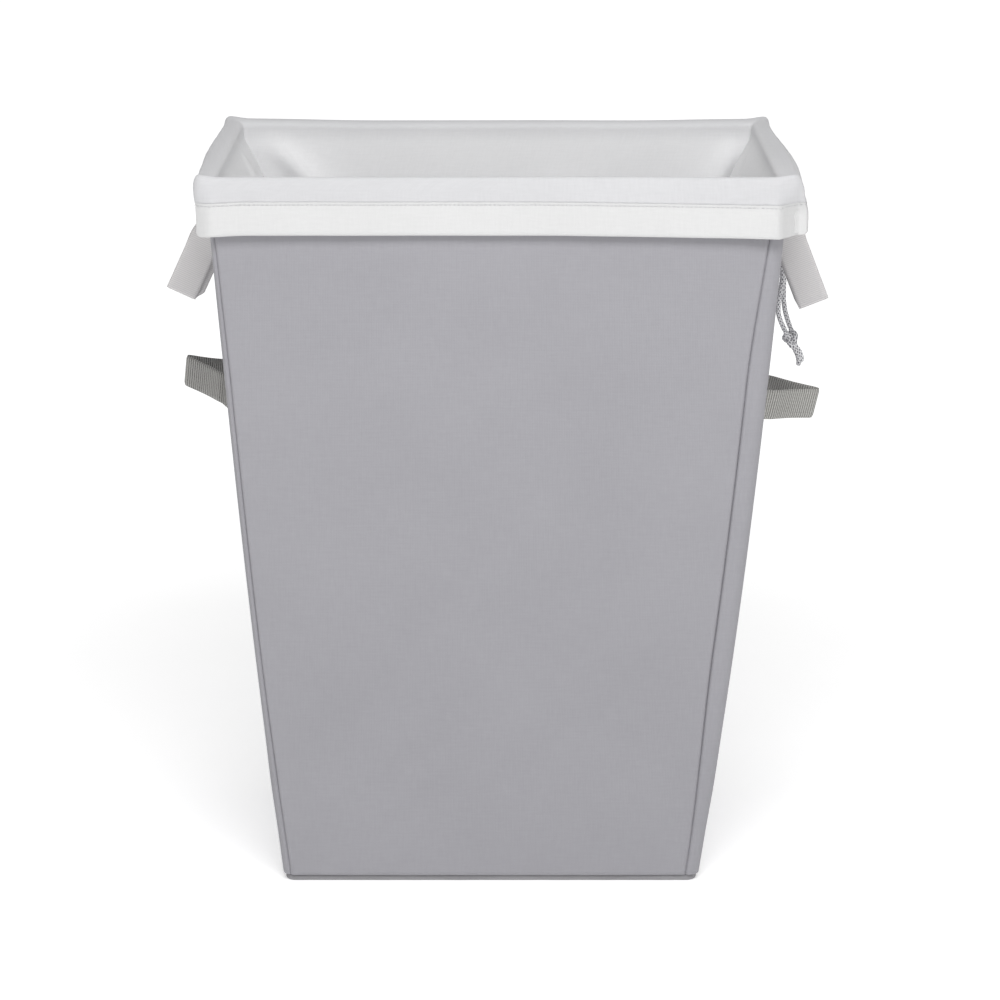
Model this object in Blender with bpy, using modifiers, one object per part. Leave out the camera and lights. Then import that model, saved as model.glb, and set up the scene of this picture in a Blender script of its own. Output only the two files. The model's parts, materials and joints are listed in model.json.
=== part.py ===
"""A free-standing fabric laundry hamper with a lift-out bag turned over its rim.

The hamper is a tapered box of board-stiffened cloth, wider at the top. Its bag hangs inside, folds
over the rim as a cuff and ends in a tunnel hem with a drawstring. Webbing loops serve as handles.
Metres, +Z up, the front faces -Y and the origin is the centre of the base's underside.
"""
import math

import bmesh
import bpy
from mathutils import Matrix, Vector

# The tapered box, measured on the outside of its cloth
BASE_HALF_X = 0.1700
BASE_HALF_Y = 0.1140
RIM_HALF_X = 0.2235
RIM_HALF_Y = 0.1470
RIM_TOP = 0.5848
CORNER_RADIUS = 0.0090
CORNER_STEPS = 4

# Cloth, board and the clearance between pieces that touch
CLOTH = 0.0008
BOARD = 0.0030
GAP = 0.0003
SEAM_INSET = 0.0120  # from the corner to the seam between a front or rear cover and a side cover

# Depths of the wall's layers, from the outside of the cover to each layer's outer face
BOARD_DEPTH = CLOTH + GAP
LINING_DEPTH = BOARD_DEPTH + BOARD + GAP
WALL_DEPTH = LINING_DEPTH + CLOTH
LINER_DEPTH = 0.0070

# Heights of the base's layers
BASE_BOARD_LOW = CLOTH + GAP
BASE_LINING_LOW = BASE_BOARD_LOW + BOARD + GAP
WALL_LOW = 0.0058
WELT_INSET = 0.0005
WELT_THICK = 0.0025

# Tape bound over the top of the wall
BINDING = 0.0008
BINDING_SPACE = 0.0004
BINDING_LEG = 0.0140
WALL_TOP = RIM_TOP - BINDING - BINDING_SPACE

# The bag: its walls, the cuff over the rim and the tunnel hem below the cuff
BAG_CLOTH = 0.0006
BAG_LOW = 0.0062
BAG_WALL_TOP = 0.5745
CUFF_HALF_X = 0.2310
CUFF_HALF_Y = 0.1545
CUFF_RADIUS = 0.0140
CUFF_TOP = 0.5860
HEM_TOP = 0.5685
HEM_LOW = 0.5415
HEM_DEPTH = 0.0057

# Drawstring
CORD_RADIUS = 0.0020
CORD_SIDES = 2  # bevel resolution, 8 sides
CORD_HALF_X = CUFF_HALF_X - HEM_DEPTH / 2
CORD_HALF_Y = CUFF_HALF_Y - HEM_DEPTH / 2
CORD_CORNER = 0.0110
CORD_LEVEL = HEM_LOW + BAG_CLOTH + GAP + CORD_RADIUS
FRONT_STRAND_Y = 0.0260
REAR_STRAND_Y = 0.0360
SLOT_MARGIN = 0.0025

# Webbing handles on the hamper's sides
WEBBING = 0.0250
HANDLE_THICK = 0.0016
LEFT_HANDLE_HEIGHT = 0.3880
RIGHT_HANDLE_HEIGHT = 0.3820
LEFT_HANDLE_DIP = math.radians(-14)  # below level, so this one stands above it
RIGHT_HANDLE_DIP = math.radians(9)

# Webbing loops sewn under the bag's hem
STRAP_THICK = 0.0012
STRAP_PIVOT_X = 0.2282
STRAP_PIVOT_Z = 0.5405
STRAP_LEAN = math.radians(19)  # outwards from straight down
STRAP_HALF_GAP = 0.0050

PARTS = "laundry_hamper"
CUTTERS = "laundry_hamper_cutters"

# Colour, roughness and metallic value of each cloth and board
FINISHES = {
    "shell_fabric": ((0.42, 0.41, 0.44), 0.92, 0.0),
    "board": ((0.46, 0.36, 0.25), 0.85, 0.0),
    "lining": ((0.50, 0.49, 0.51), 0.90, 0.0),
    "binding": ((0.36, 0.35, 0.37), 0.90, 0.0),
    "bag_cloth": ((0.66, 0.66, 0.67), 0.90, 0.0),
    "hem_cloth": ((0.84, 0.84, 0.84), 0.88, 0.0),
    "cord": ((0.70, 0.70, 0.72), 0.85, 0.0),
    "handle_webbing": ((0.33, 0.33, 0.31), 0.80, 0.0),
    "strap_webbing": ((0.54, 0.53, 0.53), 0.85, 0.0),
}

FRONT = Vector((0, -1, 0))
REAR = Vector((0, 1, 0))
LEFT = Vector((-1, 0, 0))
RIGHT = Vector((1, 0, 0))
UP = Vector((0, 0, 1))


def clear_scene():
    for item in list(bpy.data.objects):
        bpy.data.objects.remove(item)


def make_collection(name):
    group = bpy.data.collections.new(name)
    bpy.context.scene.collection.children.link(group)
    return group


def finish_material(node, finish):
    """Each piece has its own material, named for the piece."""
    colour, roughness, metallic = FINISHES[finish]
    material = bpy.data.materials.new(node.name + "_" + finish)
    material.use_nodes = True
    shader = material.node_tree.nodes["Principled BSDF"]
    shader.inputs["Base Color"].default_value = (*colour, 1.0)
    shader.inputs["Roughness"].default_value = roughness
    shader.inputs["Metallic"].default_value = metallic
    node.data.materials.append(material)


def add_node(name, data, finish):
    node = bpy.data.objects.new(name, data)
    bpy.data.collections[PARTS].objects.link(node)
    finish_material(node, finish)
    return node


def half_x(z):
    """Half the box's width at a height."""
    return BASE_HALF_X + (RIM_HALF_X - BASE_HALF_X) * z / RIM_TOP


def half_y(z):
    """Half the box's depth at a height."""
    return BASE_HALF_Y + (RIM_HALF_Y - BASE_HALF_Y) * z / RIM_TOP


def corner_arc(centre_x, centre_y, radius, start_angle):
    """A quarter turn, anticlockwise from above."""
    points = []
    for step in range(CORNER_STEPS + 1):
        angle = start_angle + math.pi / 2 * step / CORNER_STEPS
        points.append((centre_x + radius * math.cos(angle), centre_y + radius * math.sin(angle)))
    return points


def rounded_rectangle(across, deep, radius):
    """A rectangle's outline with round corners, from the front right corner round to the rear."""
    x = across - radius
    y = deep - radius
    points = corner_arc(x, -y, radius, -math.pi / 2)
    points += corner_arc(x, y, radius, 0)
    points += corner_arc(-x, y, radius, math.pi / 2)
    points += corner_arc(-x, -y, radius, math.pi)
    return points


def skin(name, rows, closed, thickness, offset, finish):
    """Cloth through rows of points, drawn out from each row to the next and given a thickness."""
    shape = bmesh.new()
    line = [shape.verts.new(point) for point in rows[0]]
    count = len(line)
    ends = count if closed else count - 1
    edges = [shape.edges.new((line[i], line[(i + 1) % count])) for i in range(ends)]
    for row in rows[1:]:
        drawn = bmesh.ops.extrude_edge_only(shape, edges=edges)["geom"]
        fresh = {item for item in drawn if isinstance(item, bmesh.types.BMVert)}
        moved = []
        for vertex, point in zip(line, row):
            copy = next(e.other_vert(vertex) for e in vertex.link_edges if e.other_vert(vertex) in fresh)
            copy.co = point
            moved.append(copy)
        line = moved
        edges = [item for item in drawn if isinstance(item, bmesh.types.BMEdge)
                 and item.verts[0] in fresh and item.verts[1] in fresh]
    bmesh.ops.recalc_face_normals(shape, faces=shape.faces)
    data = bpy.data.meshes.new(name)
    shape.to_mesh(data)
    shape.free()
    node = add_node(name, data, finish)
    cloth = node.modifiers.new("thickness", "SOLIDIFY")
    cloth.thickness = thickness
    cloth.offset = offset
    cloth.use_even_offset = True
    return node


def ring(name, sections, thickness, finish):
    """A band round the whole box; each section is a half width, half depth, radius and height."""
    rows = []
    for across, deep, radius, z in sections:
        rows.append([(x, y, z) for x, y in rounded_rectangle(across, deep, radius)])
    return skin(name, rows, True, thickness, -1, finish)


def band_panels(part, sections, thickness, finish):
    """A band round the whole box in four lengths, which meet half way round its corners."""
    stride = CORNER_STEPS + 1
    nodes = {}
    for index, side in enumerate(("right", "rear", "left", "front")):
        first = index * stride + CORNER_STEPS // 2
        rows = []
        for across, deep, radius, z in sections:
            outline = [Vector((x, y, z)) for x, y in rounded_rectangle(across, deep, radius)]
            row = [outline[(first + step) % len(outline)] for step in range(stride + 1)]
            start_trim = (row[1] - row[0]).normalized() * GAP
            end_trim = (row[-2] - row[-1]).normalized() * GAP
            rows.append([row[0] + start_trim] + row[1:-1] + [row[-1] + end_trim])
        nodes[side] = skin(f"bag_{side}_{part}", rows, False, thickness, -1, finish)
    return nodes


def flat_outline(name, points, thickness, finish):
    """A flat piece cut to an outline, centred on its own plane."""
    outline = bpy.data.curves.new(name, "CURVE")
    outline.dimensions = "2D"
    outline.fill_mode = "BOTH"
    outline.extrude = thickness / 2
    spline = outline.splines.new("POLY")
    spline.points.add(len(points) - 1)
    for place, (x, y) in zip(spline.points, points):
        place.co = (x, y, 0, 1)
    spline.use_cyclic_u = True
    return add_node(name, outline, finish)


def wall_panel(name, side, low, high, depth, inset, thickness, finish, part=(-1, 1)):
    """A flat trapezoid in one of the four sloping walls.

    depth is from the outside of the cover to the panel's outer face, inset from the box's corner to
    the panel's edge, and part the share of the wall's width that it covers, from -1 to 1.
    """
    reach, lateral = (half_y, half_x) if side.y else (half_x, half_y)
    slope = math.atan2(reach(high) - reach(low), high - low)
    along = UP.cross(side)
    climb = side * math.sin(slope) + UP * math.cos(slope)
    outward = along.cross(climb)
    length = (high - low) / math.cos(slope)
    left, right = part
    points = []
    for z, y in ((low, 0), (high, length)):
        edge = lateral(z) - inset
        row = [(left * edge if left == -1 else left, y), (right * edge if right == 1 else right, y)]
        points += row if z == low else row[::-1]
    node = flat_outline(name, points, thickness, finish)
    corner = side * (reach(low) - depth) + UP * low - outward * thickness / 2
    turn = Matrix((along, climb, outward)).transposed()
    node.matrix_world = Matrix.Translation(corner) @ turn.to_4x4()
    return node


def plate(name, across, deep, radius, low, thickness, finish):
    """A level sheet with round corners."""
    node = flat_outline(name, rounded_rectangle(across, deep, radius), thickness, finish)
    node.location.z = low + thickness / 2
    return node


def make_covers():
    """Outer cloth: flat front and rear pieces, and side pieces that wrap round both corners."""
    for name, side in (("front_cover", FRONT), ("rear_cover", REAR)):
        wall_panel(name, side, WALL_LOW, WALL_TOP, 0, SEAM_INSET + GAP / 2, CLOTH, "shell_fabric")
    for name, sign in (("left_cover", -1), ("right_cover", 1)):
        rows = []
        for z in (WALL_LOW, WALL_TOP):
            x, y = half_x(z), half_y(z)
            seam = x - SEAM_INSET + GAP / 2
            centre_x, centre_y = x - CORNER_RADIUS, y - CORNER_RADIUS
            wrap = [(seam, -y)] + corner_arc(centre_x, -centre_y, CORNER_RADIUS, -math.pi / 2)
            wrap += corner_arc(centre_x, centre_y, CORNER_RADIUS, 0) + [(seam, y)]
            rows.append([(sign * px, sign * py, z) for px, py in wrap])
        skin(name, rows, False, CLOTH, -1, "shell_fabric")


def make_boards():
    """Stiffeners: whole in the front and rear walls, in two leaves in each side wall."""
    inset = CORNER_RADIUS + GAP
    low = WALL_LOW + GAP
    for name, side in (("front_board", FRONT), ("rear_board", REAR)):
        wall_panel(name, side, low, WALL_TOP, BOARD_DEPTH, inset, BOARD, "board")
    crease = BOARD / 2
    for name, side, forward in (("left", LEFT, (crease, 1)), ("right", RIGHT, (-1, -crease))):
        rearward = (-forward[1], -forward[0])
        for leaf, part in (("front", forward), ("rear", rearward)):
            wall_panel(f"{name}_{leaf}_board", side, low, WALL_TOP, BOARD_DEPTH, inset, BOARD,
                       "board", part)


def make_linings():
    """Inner cloth of the four walls."""
    for name, side, inset in (("front_lining", FRONT, LINING_DEPTH),
                              ("rear_lining", REAR, LINING_DEPTH),
                              ("left_lining", LEFT, WALL_DEPTH + GAP),
                              ("right_lining", RIGHT, WALL_DEPTH + GAP)):
        wall_panel(name, side, WALL_LOW, WALL_TOP, LINING_DEPTH, inset, CLOTH, "lining")


def make_base():
    """Base cloth, the loose board on it, the cloth over the board, and the welt round them."""
    inset = WELT_INSET + WELT_THICK + GAP
    radius = CORNER_RADIUS - inset
    across, deep = BASE_HALF_X - inset, BASE_HALF_Y - inset
    plate("base_cover", across, deep, radius, 0, CLOTH, "shell_fabric")
    plate("base_board", across - GAP, deep - GAP, radius, BASE_BOARD_LOW, BOARD, "board")
    plate("base_lining", across, deep, radius, BASE_LINING_LOW, CLOTH, "lining")
    edge = CORNER_RADIUS - WELT_INSET
    sections = [(BASE_HALF_X - WELT_INSET, BASE_HALF_Y - WELT_INSET, edge, z)
                for z in (GAP, WALL_LOW - GAP)]
    ring("base_welt", sections, WELT_THICK, "binding")


def make_rim_binding():
    """Tape folded over the top edges of the cover, board and lining."""
    outside = BINDING + BINDING_SPACE
    inside = WALL_DEPTH + BINDING_SPACE + BINDING
    sections = []
    for z, shift in ((RIM_TOP - BINDING_LEG, outside), (RIM_TOP, outside),
                     (RIM_TOP, -inside), (RIM_TOP - BINDING_LEG, -inside)):
        sections.append((half_x(z) + shift, half_y(z) + shift, CORNER_RADIUS + shift, z))
    ring("rim_binding", sections, BINDING, "binding")


def make_bag():
    """The bag's four walls and its bottom."""
    inset = LINER_DEPTH + BAG_CLOTH + GAP
    for name, side in (("bag_front", FRONT), ("bag_rear", REAR), ("bag_left", LEFT),
                       ("bag_right", RIGHT)):
        wall_panel(name, side, BAG_LOW, BAG_WALL_TOP, LINER_DEPTH, inset, BAG_CLOTH, "bag_cloth")
    inset = LINER_DEPTH + BAG_CLOTH + 2 * GAP
    plate("bag_bottom", half_x(BAG_LOW) - inset, half_y(BAG_LOW) - inset, BAG_CLOTH * 2, BAG_LOW,
          BAG_CLOTH, "bag_cloth")


def make_cuff():
    """The bag's four walls turned over the rim, from just inside it to the hem's stitch line."""
    inside = LINER_DEPTH + BAG_CLOTH
    inner_radius = CORNER_RADIUS - inside
    low = BAG_WALL_TOP + GAP
    sections = [(CUFF_HALF_X, CUFF_HALF_Y, CUFF_RADIUS, HEM_TOP + GAP),
                (CUFF_HALF_X, CUFF_HALF_Y, CUFF_RADIUS, CUFF_TOP)]
    for z in (CUFF_TOP, low):
        sections.append((half_x(z) - inside, half_y(z) - inside, inner_radius, z))
    band_panels("cuff", sections, BAG_CLOTH, "bag_cloth")


def make_hem():
    """A folded band that makes the drawstring's tunnel, with a gap in its fold where the cord leaves."""
    inner_x, inner_y = CUFF_HALF_X - HEM_DEPTH, CUFF_HALF_Y - HEM_DEPTH
    inner_radius = CUFF_RADIUS - HEM_DEPTH
    sections = [(inner_x, inner_y, inner_radius, HEM_TOP), (inner_x, inner_y, inner_radius, HEM_LOW),
                (CUFF_HALF_X, CUFF_HALF_Y, CUFF_RADIUS, HEM_LOW),
                (CUFF_HALF_X, CUFF_HALF_Y, CUFF_RADIUS, HEM_TOP)]
    hem = band_panels("hem", sections, BAG_CLOTH, "hem_cloth")["right"]
    bpy.ops.mesh.primitive_cube_add(size=1)
    slot = bpy.context.object
    slot.name = "drawstring_slot_cutter"
    first = FRONT_STRAND_Y - SLOT_MARGIN
    last = REAR_STRAND_Y + SLOT_MARGIN
    slot.scale = (HEM_DEPTH - 2 * BAG_CLOTH, last - first, 4 * BAG_CLOTH)
    slot.location = (CORD_HALF_X, (first + last) / 2, HEM_LOW)
    slot.hide_render = True
    slot.display_type = "WIRE"
    for group in list(slot.users_collection):
        group.objects.unlink(slot)
    bpy.data.collections[CUTTERS].objects.link(slot)
    cut = hem.modifiers.new("drawstring slot", "BOOLEAN")
    cut.operation = "DIFFERENCE"
    cut.solver = "EXACT"
    cut.object = slot


def cord(name, points, radii=None):
    """A round cord along points, with filled ends; radii scale its thickness at each point."""
    line = bpy.data.curves.new(name, "CURVE")
    line.dimensions = "3D"
    line.bevel_depth = CORD_RADIUS
    line.bevel_resolution = CORD_SIDES
    line.use_fill_caps = True
    spline = line.splines.new("POLY")
    spline.points.add(len(points) - 1)
    for index, point in enumerate(points):
        spline.points[index].co = (*point, 1)
        spline.points[index].radius = radii[index] if radii else 1
    return add_node(name, line, "cord")


def smooth_route(points, spacing):
    """Points at an even spacing on a smooth curve (Catmull-Rom) through a few hand-placed ones."""
    given = [Vector(p) for p in points]
    given = [given[0] * 2 - given[1]] + given + [given[-1] * 2 - given[-2]]
    dense = []
    steps = 24
    for a, b, c, d in zip(given, given[1:], given[2:], given[3:]):
        for step in range(steps):
            t = step / steps
            dense.append(0.5 * (2 * b + (c - a) * t + (2 * a - 5 * b + 4 * c - d) * t ** 2
                                + (3 * b - a - 3 * c + d) * t ** 3))
    dense.append(given[-2])
    length = sum((q - p).length for p, q in zip(dense, dense[1:]))
    pieces = max(2, round(length / spacing))
    route = [dense[0]]
    travelled = 0.0
    for p, q in zip(dense, dense[1:]):
        run = (q - p).length
        while len(route) < pieces and travelled + run >= len(route) * length / pieces:
            share = (len(route) * length / pieces - travelled) / run
            route.append(p.lerp(q, share))
        travelled += run
    route.append(dense[-1])
    return route


# Free ends of the drawstring, from inside the hem down to the knot, and the knot with its tails
FRONT_STRAND = [
    (CORD_HALF_X, FRONT_STRAND_Y, CORD_LEVEL), (CORD_HALF_X, FRONT_STRAND_Y, 0.5300),
    (0.2290, FRONT_STRAND_Y, 0.5150), (0.2318, 0.0262, 0.4960), (0.2345, 0.0266, 0.4770),
    (0.2334, 0.0268, 0.4640), (0.2318, 0.0270, 0.4530), (0.2325, 0.0272, 0.4420),
    (0.2375, 0.0276, 0.4300),
]
REAR_STRAND = [
    (CORD_HALF_X, REAR_STRAND_Y, CORD_LEVEL), (CORD_HALF_X, REAR_STRAND_Y, 0.5300),
    (0.2292, REAR_STRAND_Y, 0.5150), (0.2325, 0.0356, 0.4960), (0.2362, 0.0350, 0.4770),
    (0.2366, 0.0344, 0.4640), (0.2368, 0.0338, 0.4530), (0.2388, 0.0334, 0.4420),
    (0.2424, 0.0330, 0.4315),
]
KNOT = [
    (0.2405, 0.0303, 0.4292), (0.2413, 0.0303, 0.4275), (0.2422, 0.0304, 0.4250),
    (0.2434, 0.0304, 0.4215), (0.2447, 0.0305, 0.4180), (0.2458, 0.0305, 0.4150),
    (0.2480, 0.0305, 0.4105), (0.2500, 0.0305, 0.4060), (0.2498, 0.0305, 0.4020),
]
KNOT_RADII = [1.4, 2.4, 3.0, 3.3, 2.9, 2.1, 1.8, 1.7, 1.4]
CORD_SPACING = 0.0090


def make_drawstring():
    """The cord in its tunnel, its two free ends, and the knot that joins them."""
    around = rounded_rectangle(CORD_HALF_X, CORD_HALF_Y, CORD_CORNER)
    clear = CORD_RADIUS + GAP
    first = (CORD_HALF_X, REAR_STRAND_Y + clear)
    last = (CORD_HALF_X, FRONT_STRAND_Y - clear)
    corner = CORNER_STEPS + 1
    route = [first] + around[corner:] + around[:corner] + [last]
    cord("drawstring_ring", [(x, y, CORD_LEVEL) for x, y in route])
    cord("drawstring_front_strand", smooth_route(FRONT_STRAND, CORD_SPACING))
    cord("drawstring_rear_strand", smooth_route(REAR_STRAND, CORD_SPACING))
    cord("drawstring_knot", KNOT, KNOT_RADII)


# Half of a side handle seen from above: how far out from the wall, how far from the handle's middle
HANDLE_HALF = [(0.0170, 0.0325), (0.0205, 0.0300), (0.0275, 0.0235), (0.0350, 0.0165),
               (0.0430, 0.0105), (0.0500, 0.0060), (0.0535, 0.0030)]
HANDLE_FOLD = 0.0545
# Its sewn end: flat on the wall, then turned outwards
TAB = [(0.0011, 0.0600), (0.0011, 0.0400), (0.0017, 0.0372), (0.0035, 0.0356), (0.0065, 0.0348),
       (0.0115, 0.0340)]
# Half of a bag strap: how far along it, how far from its middle
STRAP_HALF = [(0.0140, STRAP_HALF_GAP), (0.0790, STRAP_HALF_GAP), (0.0825, 0.0042), (0.0845, 0.0022)]
STRAP_FOLD = 0.0850
# A strap's gathered root: distance along it and half its width there
ROOT = [(0.0006, 0.0020), (0.0137, 0.0115)]


def place_webbing(node, side, out, height, dip):
    """Turns a piece made along +X about its own origin, which lies on its joint's axis."""
    node.location = (side * out, 0, height)
    node.rotation_euler = (0, dip, 0 if side > 0 else math.pi)
    return node


def webbing(name, path, thickness, finish):
    """Webbing on edge along a path from above, its width upright."""
    rows = [[(x, y, z) for x, y in path] for z in (-WEBBING / 2, WEBBING / 2)]
    return skin(name, rows, False, thickness, 0, finish)


def whole_loop(half, fold):
    """Both legs of a loop and the fold between them."""
    return [(x, -y) for x, y in half] + [(fold, 0)] + [(x, y) for x, y in half[::-1]]


def make_handles():
    """A webbing handle on each side wall, with a sewn end in front and behind."""
    wall_dip = math.atan2(RIM_HALF_X - BASE_HALF_X, RIM_TOP)
    for name, side, height, dip in (("left", -1, LEFT_HANDLE_HEIGHT, LEFT_HANDLE_DIP),
                                    ("right", 1, RIGHT_HANDLE_HEIGHT, RIGHT_HANDLE_DIP)):
        out = half_x(height)
        loop = webbing(f"{name}_handle", whole_loop(HANDLE_HALF, HANDLE_FOLD), HANDLE_THICK,
                       "handle_webbing")
        place_webbing(loop, side, out, height, dip)
        for end, sign in (("front", -side), ("rear", side)):
            tab = webbing(f"{name}_handle_{end}_tab", [(x, sign * y) for x, y in TAB], HANDLE_THICK,
                          "handle_webbing")
            place_webbing(tab, side, out, height, wall_dip)


def make_straps():
    """A webbing loop under each side of the hem, with the gathered root of each leg."""
    dip = math.pi / 2 - STRAP_LEAN
    for name, side in (("left", -1), ("right", 1)):
        loop = webbing(f"{name}_strap", whole_loop(STRAP_HALF, STRAP_FOLD), STRAP_THICK,
                       "strap_webbing")
        place_webbing(loop, side, STRAP_PIVOT_X, STRAP_PIVOT_Z, dip)
        for end, sign in (("front", -side), ("rear", side)):
            rows = [[(x, sign * STRAP_HALF_GAP, edge * w) for x, w in ROOT] for edge in (-1, 1)]
            root = skin(f"{name}_strap_{end}_root", rows, False, STRAP_THICK, 0, "strap_webbing")
            place_webbing(root, side, STRAP_PIVOT_X, STRAP_PIVOT_Z, dip)


clear_scene()
make_collection(PARTS)
make_collection(CUTTERS)
make_covers()
make_boards()
make_linings()
make_base()
make_rim_binding()
make_bag()
make_cuff()
make_hem()
make_drawstring()
make_handles()
make_straps()
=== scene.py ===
import json
import math
import bmesh
import bpy
from mathutils import Matrix, Vector, noise


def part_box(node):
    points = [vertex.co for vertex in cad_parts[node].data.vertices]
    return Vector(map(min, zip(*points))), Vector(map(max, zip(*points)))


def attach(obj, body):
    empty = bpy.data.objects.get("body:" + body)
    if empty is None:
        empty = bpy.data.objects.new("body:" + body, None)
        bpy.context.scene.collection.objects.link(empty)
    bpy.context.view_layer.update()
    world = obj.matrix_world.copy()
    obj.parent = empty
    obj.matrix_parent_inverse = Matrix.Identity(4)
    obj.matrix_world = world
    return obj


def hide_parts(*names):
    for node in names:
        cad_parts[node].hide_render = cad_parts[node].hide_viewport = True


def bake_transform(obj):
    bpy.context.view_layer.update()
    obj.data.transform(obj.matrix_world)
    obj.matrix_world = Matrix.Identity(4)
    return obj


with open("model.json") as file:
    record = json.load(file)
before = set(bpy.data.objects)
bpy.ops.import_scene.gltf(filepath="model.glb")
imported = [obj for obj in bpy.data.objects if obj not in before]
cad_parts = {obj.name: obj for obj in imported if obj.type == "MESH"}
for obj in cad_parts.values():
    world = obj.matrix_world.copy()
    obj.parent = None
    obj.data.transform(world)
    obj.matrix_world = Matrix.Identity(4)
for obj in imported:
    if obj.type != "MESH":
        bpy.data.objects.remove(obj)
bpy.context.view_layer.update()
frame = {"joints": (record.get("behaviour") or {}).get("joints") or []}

mm = 0.001


# A long lens in front of the hamper and above its rim, looking down
camera = {"place": (2.3 * mm, -2.626, 0.9886), "pitchDown": 14.853, "lens": 118.0}


def makeCamera():
    data = bpy.data.cameras.new("camera")
    data.lens = camera["lens"]
    data.sensor_width = 36.0
    data.clip_end = 60.0
    eye = bpy.data.objects.new("camera", data)
    eye.location = camera["place"]
    eye.rotation_euler = (math.radians(90 - camera["pitchDown"]), 0, 0)
    bpy.context.scene.collection.objects.link(eye)
    bpy.context.scene.camera = eye


studio = {"world": 0.3, "floorRadius": 14.0}
# Each light's place, what it aims at, its width and height, and its power in watts
softLights = {
    "keySoftbox": ((0.10, -1.40, 1.80), (0.0, -0.1, 0.55), (1.1, 0.7), 22.5),
    "topSoftbox": ((0.0, -0.2, 2.6), (0.0, 0.0, 0.4), (1.2, 1.2), 9),
}


def makeLights():
    for name, (place, aim, size, power) in softLights.items():
        data = bpy.data.lights.new(name, "AREA")
        data.shape = "RECTANGLE"
        data.size, data.size_y = size
        data.energy = power
        lamp = bpy.data.objects.new(name, data)
        lamp.location = place
        lamp.rotation_euler = (Vector(aim) - Vector(place)).to_track_quat("-Z", "Y").to_euler()
        bpy.context.scene.collection.objects.link(lamp)
    world = bpy.data.worlds.new("studio")
    world.use_nodes = True
    world.node_tree.nodes["Background"].inputs["Color"].default_value = (1, 1, 1, 1)
    world.node_tree.nodes["Background"].inputs["Strength"].default_value = studio["world"]
    bpy.context.scene.world = world
    bpy.context.scene.view_settings.view_transform = "Standard"


def makeFloor():
    shape = bmesh.new()
    bmesh.ops.create_circle(shape, cap_ends=True, segments=96, radius=studio["floorRadius"])
    floor = meshPiece("floor", shape)
    floor.data.materials.append(tableMaterial())


def meshPiece(name, shape, smooth=True):
    data = bpy.data.meshes.new(name)
    shape.to_mesh(data)
    shape.free()
    if smooth:
        data.shade_smooth()
    piece = bpy.data.objects.new(name, data)
    bpy.context.scene.collection.objects.link(piece)
    return piece


def smoothStep(value):
    value = min(1.0, max(0.0, value))
    return value * value * (3 - 2 * value)


def hump(value, centre, width):
    return math.exp(-((value - centre) / width) ** 2)


# A grid whose place(i, j) gives each point's position and its UV in metres. wrap closes it into a
# tube, and caps fills the tube's ends
def addGrid(shape, columns, rows, place, wrap=False, caps=False):
    layer = shape.loops.layers.uv.verify()
    made = bmesh.ops.create_grid(shape, x_segments=columns, y_segments=rows, size=1)["verts"]
    spots = {}
    for vertex in made:
        i = round((vertex.co.x + 1) / 2 * columns)
        j = round((vertex.co.y + 1) / 2 * rows)
        spots[vertex] = place(i, j)
    for vertex, (point, uv) in spots.items():
        for loop in vertex.link_loops:
            loop[layer].uv = uv
        vertex.co = point
    if wrap:
        bmesh.ops.remove_doubles(shape, verts=made, dist=0.01 * mm)
    if caps:
        ends = [edge for edge in shape.edges if edge.is_boundary]
        bmesh.ops.holes_fill(shape, edges=ends)


# A piece of cloth, or of anything else made as one grid, with a thickness if it has one
def clothGrid(name, columns, rows, place, wrap=False, thickness=None, offset=-1.0):
    shape = bmesh.new()
    addGrid(shape, columns, rows, place, wrap)
    bmesh.ops.recalc_face_normals(shape, faces=shape.faces)
    piece = meshPiece(name, shape)
    if thickness:
        cloth = piece.modifiers.new("thickness", "SOLIDIFY")
        cloth.thickness = thickness
        cloth.offset = offset
        cloth.use_even_offset = True
    return piece


# An sRGB hex colour as the linear one that a shader takes
def linearColour(code):
    parts = [int(code[k:k + 2], 16) / 255 for k in (1, 3, 5)]
    return [c / 12.92 if c <= 0.04045 else ((c + 0.055) / 1.055) ** 2.4 for c in parts] + [1.0]


def addNode(tree, kind, settings=None, inputs=None):
    node = tree.nodes.new("ShaderNode" + kind)
    for name, value in (settings or {}).items():
        setattr(node, name, value)
    for name, value in (inputs or {}).items():
        if isinstance(value, bpy.types.NodeSocket):
            tree.links.new(value, node.inputs[name])
        else:
            node.inputs[name].default_value = value
    return node


def newMaterial(name, roughness, sheen=0.0):
    material = bpy.data.materials.new(name)
    material.use_nodes = True
    shader = material.node_tree.nodes["Principled BSDF"]
    shader.inputs["Roughness"].default_value = roughness
    shader.inputs["Sheen Weight"].default_value = sheen
    shader.inputs["Sheen Roughness"].default_value = 0.6
    shader.inputs["Specular IOR Level"].default_value = 0.25
    return material, material.node_tree, shader


# The wave texture's scale for bands this far apart
def bandScale(period):
    return 2 * math.pi / (20 * period)


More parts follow.
